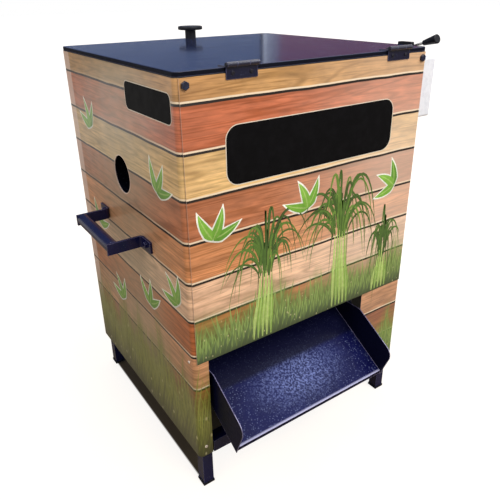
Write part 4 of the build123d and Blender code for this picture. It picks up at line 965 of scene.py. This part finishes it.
def at_drum(x, sideways, out, angle):
    """A point on the drum from its place along it, sideways in the strip and out from the axis."""
    return (x, axis_y + out * math.sin(angle) + sideways * math.cos(angle),
            axis_z + out * math.cos(angle) - sideways * math.sin(angle))


def spike(points, faces, foot, tip, angle, radius):
    """One three-sided wire from foot to tip, both as (along, sideways, out)."""
    base = len(points)
    for end_place in (foot, tip):
        for corner in range(3):
            turn = math.radians(120 * corner)
            points.append(at_drum(end_place[0] + radius * math.cos(turn),
                                  end_place[1] + radius * math.sin(turn), end_place[2], angle))
    faces += [(base + a, base + b, base + 3 + b, base + 3 + a) for a, b in ((0, 1), (1, 2), (2, 0))]
    faces += [(base + 2, base + 1, base), (base + 3, base + 4, base + 5)]


print("brush radius in mm:", round(BRUSH_RADIUS / MM, 2))

# %% [markdown]
# Each strip is a closed channel with a row of wires. Chance sets where each wire stands and leans, so the row
# looks pressed in and not ruled. The brush stands in for the plain bars of the frame.

# %% Brush wires
STRIP_COUNT = 12
CHANNEL_HALF = 3 * MM
CHANNEL_LOW, CHANNEL_HIGH = BRUSH_RADIUS - 35 * MM, BRUSH_RADIUS - 27 * MM
WIRE_FOOT = BRUSH_RADIUS - 28 * MM
WIRE_RADIUS = 0.6 * MM
END_GAP = 2 * MM
BOX_FACES = ((0, 1, 3, 2), (4, 6, 7, 5), (0, 4, 5, 1), (2, 3, 7, 6), (0, 2, 6, 4), (1, 5, 7, 3))
wire_points, wire_faces = [], []
for strip in range(STRIP_COUNT):
    angle = math.radians(360 * strip / STRIP_COUNT)
    first = len(wire_points)
    channel = [(x, s, out) for x in (strips_low[0], strips_high[0]) for s in (-CHANNEL_HALF, CHANNEL_HALF)
               for out in (CHANNEL_LOW, CHANNEL_HIGH)]
    wire_points += [at_drum(*corner, angle) for corner in channel]
    wire_faces += [tuple(first + corner for corner in face) for face in BOX_FACES]
    along = strips_low[0] + END_GAP
    while along < strips_high[0] - END_GAP:
        foot = (along, chance.uniform(-1.6, 1.6) * MM, WIRE_FOOT)
        tip = (along + chance.uniform(-1.2, 1.2) * MM, chance.uniform(-2.4, 2.4) * MM,
               BRUSH_RADIUS - chance.uniform(0.2, 1.5) * MM)
        spike(wire_points, wire_faces, foot, tip, angle, WIRE_RADIUS)
        along += chance.uniform(0.7, 1.1) * MM
brush = solid("brush_wires", wire_points, wire_faces, brush_wire, "brush", "brush_wire")
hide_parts("brush_strips")
print("faces of the brush wires:", len(wire_faces))

# %% [markdown]
# ## The studio
# The machine stands on a plain pale floor that runs on out of sight. Under its left half lies a dark shade. It
# is drawn in the floor's colour, so that the lamps can stay broad and soft. Its borders are distances from the
# feet, and it fades out to the right.

# %% Shade on the floor
feet_low, feet_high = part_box("leg_feet")
FOOT_X, FOOT_Y = [(feet_high[i] - feet_low[i]) / 2 for i in (0, 1)]
FLOOR_MIDDLE = (0.0, CABINET_MIDDLE[1], 0.0)
SHADE_BACK = 0.12
SHADE_SLANT = (1.0, -0.67, 0.0)
SHADE_INSET = 8 * MM
SOFT_EDGE = 5 * MM
FADE_FROM, FADE_TO = -150 * MM, 100 * MM


def out_of_shade(tree, place):
    """1 on the open floor and 0 in the shade, which lies behind the front rail and fades to the right."""
    from_middle = add(tree, "VectorMath", {0: place, 1: FLOOR_MIDDLE}, operation="SUBTRACT")
    apart = add(tree, "VectorMath", {0: from_middle}, operation="ABSOLUTE")
    sides = add(tree, "SeparateXYZ", {0: apart}).node.outputs
    out_x = add(tree, "Math", {0: sides[0], 1: FOOT_X - SHADE_INSET}, operation="SUBTRACT")
    out_y = add(tree, "Math", {0: sides[1], 1: FOOT_Y}, operation="SUBTRACT")
    out = add(tree, "Math", {0: out_x, 1: out_y}, operation="MAXIMUM")
    # a slanting line from the front left foot bounds the shade on its open side
    from_foot = add(tree, "VectorMath", {0: from_middle, 1: (FOOT_X, FOOT_Y, 0.0)}, operation="ADD")
    past = add(tree, "VectorMath", {0: from_foot, 1: SHADE_SLANT}, "Value", operation="DOT_PRODUCT")
    before = add(tree, "VectorMath", {0: from_foot, 1: (0.0, -1.0, 0.0)}, "Value", operation="DOT_PRODUCT")
    before = add(tree, "Math", {0: before, 1: SHADE_BACK}, operation="ADD")
    open_air = add(tree, "Math", {0: past, 1: before}, operation="MINIMUM")
    out = add(tree, "Math", {0: out, 1: open_air}, operation="MAXIMUM")
    across = add(tree, "SeparateXYZ", {0: place}).node.outputs[0]
    to_right = add(tree, "MapRange", {0: across, 1: FADE_FROM, 2: FADE_TO, 3: 0.0, 4: SOFT_EDGE})
    out = add(tree, "Math", {0: out, 1: to_right}, operation="MAXIMUM")
    return add(tree, "MapRange", {0: out, 1: 0.0, 2: SOFT_EDGE}, interpolation_type="SMOOTHSTEP")


print("feet reach", round(FOOT_X, 4), "and", round(FOOT_Y, 4), "from the middle")

# %% [markdown]
# The floor is matt and glows a little, so that it stays white far away. Glossy sides mirror the pale floor
# further out and the darker floor close by, so it glows differently for rays that come off them.

# %% Floor
def pale_floor(name):
    """A matt pale floor with a barely visible grain."""
    made, tree, place = start(name)
    lit = out_of_shade(tree, place)
    cloud = add(tree, "TexNoise", {"Vector": place, "Scale": per_metre(300), "Detail": 4.0})
    tone = add(tree, "ValToRGB", {"Fac": cloud}, stops=((0.3, "#8c7c66"), (0.7, "#968671")))
    tone = add(tree, "Mix", {0: lit, 6: linear("#3d3325"), 7: tone}, 2, data_type="RGBA")
    far = add(tree, "VectorMath", {0: place}, "Value", operation="LENGTH")
    near = add(tree, "MapRange", {0: far, 1: 0.3, 2: 1.2, 3: 0.85, 4: 1.0}, interpolation_type="SMOOTHSTEP")
    glow = add(tree, "Math", {0: lit, 1: near}, operation="MULTIPLY")
    mirrored = add(tree, "MapRange", {0: far, 1: 1.5, 2: 4.4, 3: 0.05, 4: 0.9},
                   interpolation_type="SMOOTHSTEP")
    aside = add(tree, "VectorMath", {0: place, 1: (-1.0, -0.4, 0.0)}, "Value", operation="DOT_PRODUCT")
    aside = add(tree, "MapRange", {0: aside, 1: -0.5, 2: 0.25, 3: 0.15, 4: 1.0},
                interpolation_type="SMOOTHSTEP")
    mirrored = add(tree, "Math", {0: mirrored, 1: aside}, operation="MULTIPLY")
    horizon = add(tree, "MapRange", {0: far, 1: 6.5, 2: 8.5, 3: 1.0, 4: 0.1}, interpolation_type="SMOOTHSTEP")
    mirrored = add(tree, "Math", {0: mirrored, 1: horizon}, operation="MULTIPLY")
    rays = add(tree, "LightPath").node.outputs
    direct = add(tree, "Math", {0: rays["Is Camera Ray"], 1: rays["Is Transmission Ray"]}, operation="MAXIMUM")
    seen = add(tree, "Math", {0: glow, 1: direct}, operation="MULTIPLY")
    seen = add(tree, "Math", {0: mirrored, 1: rays["Is Glossy Ray"], 2: seen}, operation="MULTIPLY_ADD")
    end(tree, Base_Color=tone, Roughness=0.9, Emission_Color=linear("#ffffff"), Emission_Strength=seen)
    return made


FAR = 30.0
floor_mesh = bpy.data.meshes.new("floor")
floor_mesh.from_pydata([(-FAR, -FAR, 0), (FAR, -FAR, 0), (FAR, FAR, 0), (-FAR, FAR, 0)], [], [(0, 1, 2, 3)])
floor_mesh.materials.append(pale_floor("pale studio floor"))
floor = bpy.data.objects.new("floor", floor_mesh)
bpy.context.collection.objects.link(floor)
print("floor reaches", FAR, "m each way")

# %% [markdown]
# The lid mirrors the far end of a dusky room: bluish on the left, a dark door post with a bright gap beside it,
# and warmer to the right. A card far behind the machine stands in for that room. The camera doesn't see it.

# %% Dusky card for the lid
CARD_LEFT, CARD_RIGHT, CARD_FAR, CARD_LOW, CARD_HIGH = -3.0, 9.0, 4.5, 1.12, 4.0
ROOM_TONES = ((0.0, "#6d7a98"), (0.520, "#526080"), (0.522, "#05070f"), (0.5255, "#05070f"),
              (0.527, "#aab2c4"), (0.532, "#7a8296"), (0.543, "#6a667c"), (0.551, "#6a4a60"), (1.0, "#664858"))


def dusky_card(name):
    """A softly glowing wall whose tones run from left to right, with borders that waver a little."""
    made, tree, place = start(name)
    across = add(tree, "SeparateXYZ", {0: place}).node.outputs[0]
    share = add(tree, "MapRange", {0: across, 1: CARD_LEFT, 2: CARD_RIGHT})
    cloud = add(tree, "TexNoise", {"Vector": place, "Scale": per_metre(900), "Detail": 2.0})
    waver = add(tree, "MapRange", {0: cloud, 3: -0.002, 4: 0.002})
    share = add(tree, "Math", {0: share, 1: waver}, operation="ADD")
    tone = add(tree, "ValToRGB", {"Fac": share}, stops=ROOM_TONES)
    glow = add(tree, "Emission", {"Color": tone, "Strength": 1.2})
    add(tree, "OutputMaterial", {"Surface": glow})
    return made


card_mesh = bpy.data.meshes.new("card")
card_mesh.from_pydata([(CARD_LEFT, CARD_FAR, CARD_LOW), (CARD_RIGHT, CARD_FAR, CARD_LOW),
                       (CARD_RIGHT, CARD_FAR, CARD_HIGH), (CARD_LEFT, CARD_FAR, CARD_HIGH)], [], [(0, 1, 2, 3)])
card_mesh.materials.append(dusky_card("dusky card"))
card = bpy.data.objects.new("card", card_mesh)
card.visible_camera = False
bpy.context.collection.objects.link(card)
print("card stands", CARD_FAR, "m behind the machine")

# %% [markdown]
# A large lamp from the right front models the cabinet, a weaker one fills the left, one from above lights the
# lid and the tray, and a small cool one puts the sheen on the tray's floor. Large lamps give soft shadows.

# %% Lamps
def lamp(name, place, aim, width, power, colour):
    """A square soft lamp of the given width that looks at a point."""
    light = bpy.data.lights.new(name, "AREA")
    light.shape = "SQUARE"
    light.size = width
    light.energy = power
    light.color = linear(colour)[:3]
    made = bpy.data.objects.new(name, light)
    bpy.context.collection.objects.link(made)
    made.location = place
    made.rotation_euler = (Vector(aim) - Vector(place)).to_track_quat("-Z", "Y").to_euler()


lamp("key", (0.5, -2.5, 2.7), (0, 0, 0.5), 1.6, 82.0, "#fffaf2")
lamp("fill", (-1.8, -0.5, 1.8), (-0.3, 0, 0.7), 1.4, 13.0, "#fff8ee")
lamp("top", (0.2, 0.3, 3.4), (0, 0, 0.5), 2.5, 40.0, "#ffffff")
lamp("sheen", (1.25, -1.1, 2.3), (0, -0.3, 0.2), 0.7, 9.0, "#eef2ff")
print("lamps:", [light.name for light in bpy.data.lights])

# %% [markdown]
# The room is white to the eye and in mirrors, but lights the machine only weakly, so the lamps keep their
# shape. Light paths tell the two apart. The standard view shows the screen colours as they were written.

# %% White room
room = bpy.data.worlds.new("white room")
bpy.context.scene.world = room
room.use_nodes = True
room.node_tree.nodes.clear()
rays = add(room.node_tree, "LightPath").node.outputs
seen = add(room.node_tree, "Math", {0: rays["Is Camera Ray"], 1: rays["Is Glossy Ray"]}, operation="MAXIMUM")
seen = add(room.node_tree, "Math", {0: seen, 1: rays["Is Transmission Ray"]}, operation="MAXIMUM")
bright = add(room.node_tree, "MapRange", {0: seen, 3: 0.3, 4: 1.0})
white = add(room.node_tree, "Background", {"Color": linear("#ffffff"), "Strength": bright})
add(room.node_tree, "OutputWorld", {"Surface": white})
bpy.context.scene.view_settings.view_transform = "Standard"
print("studio ready")
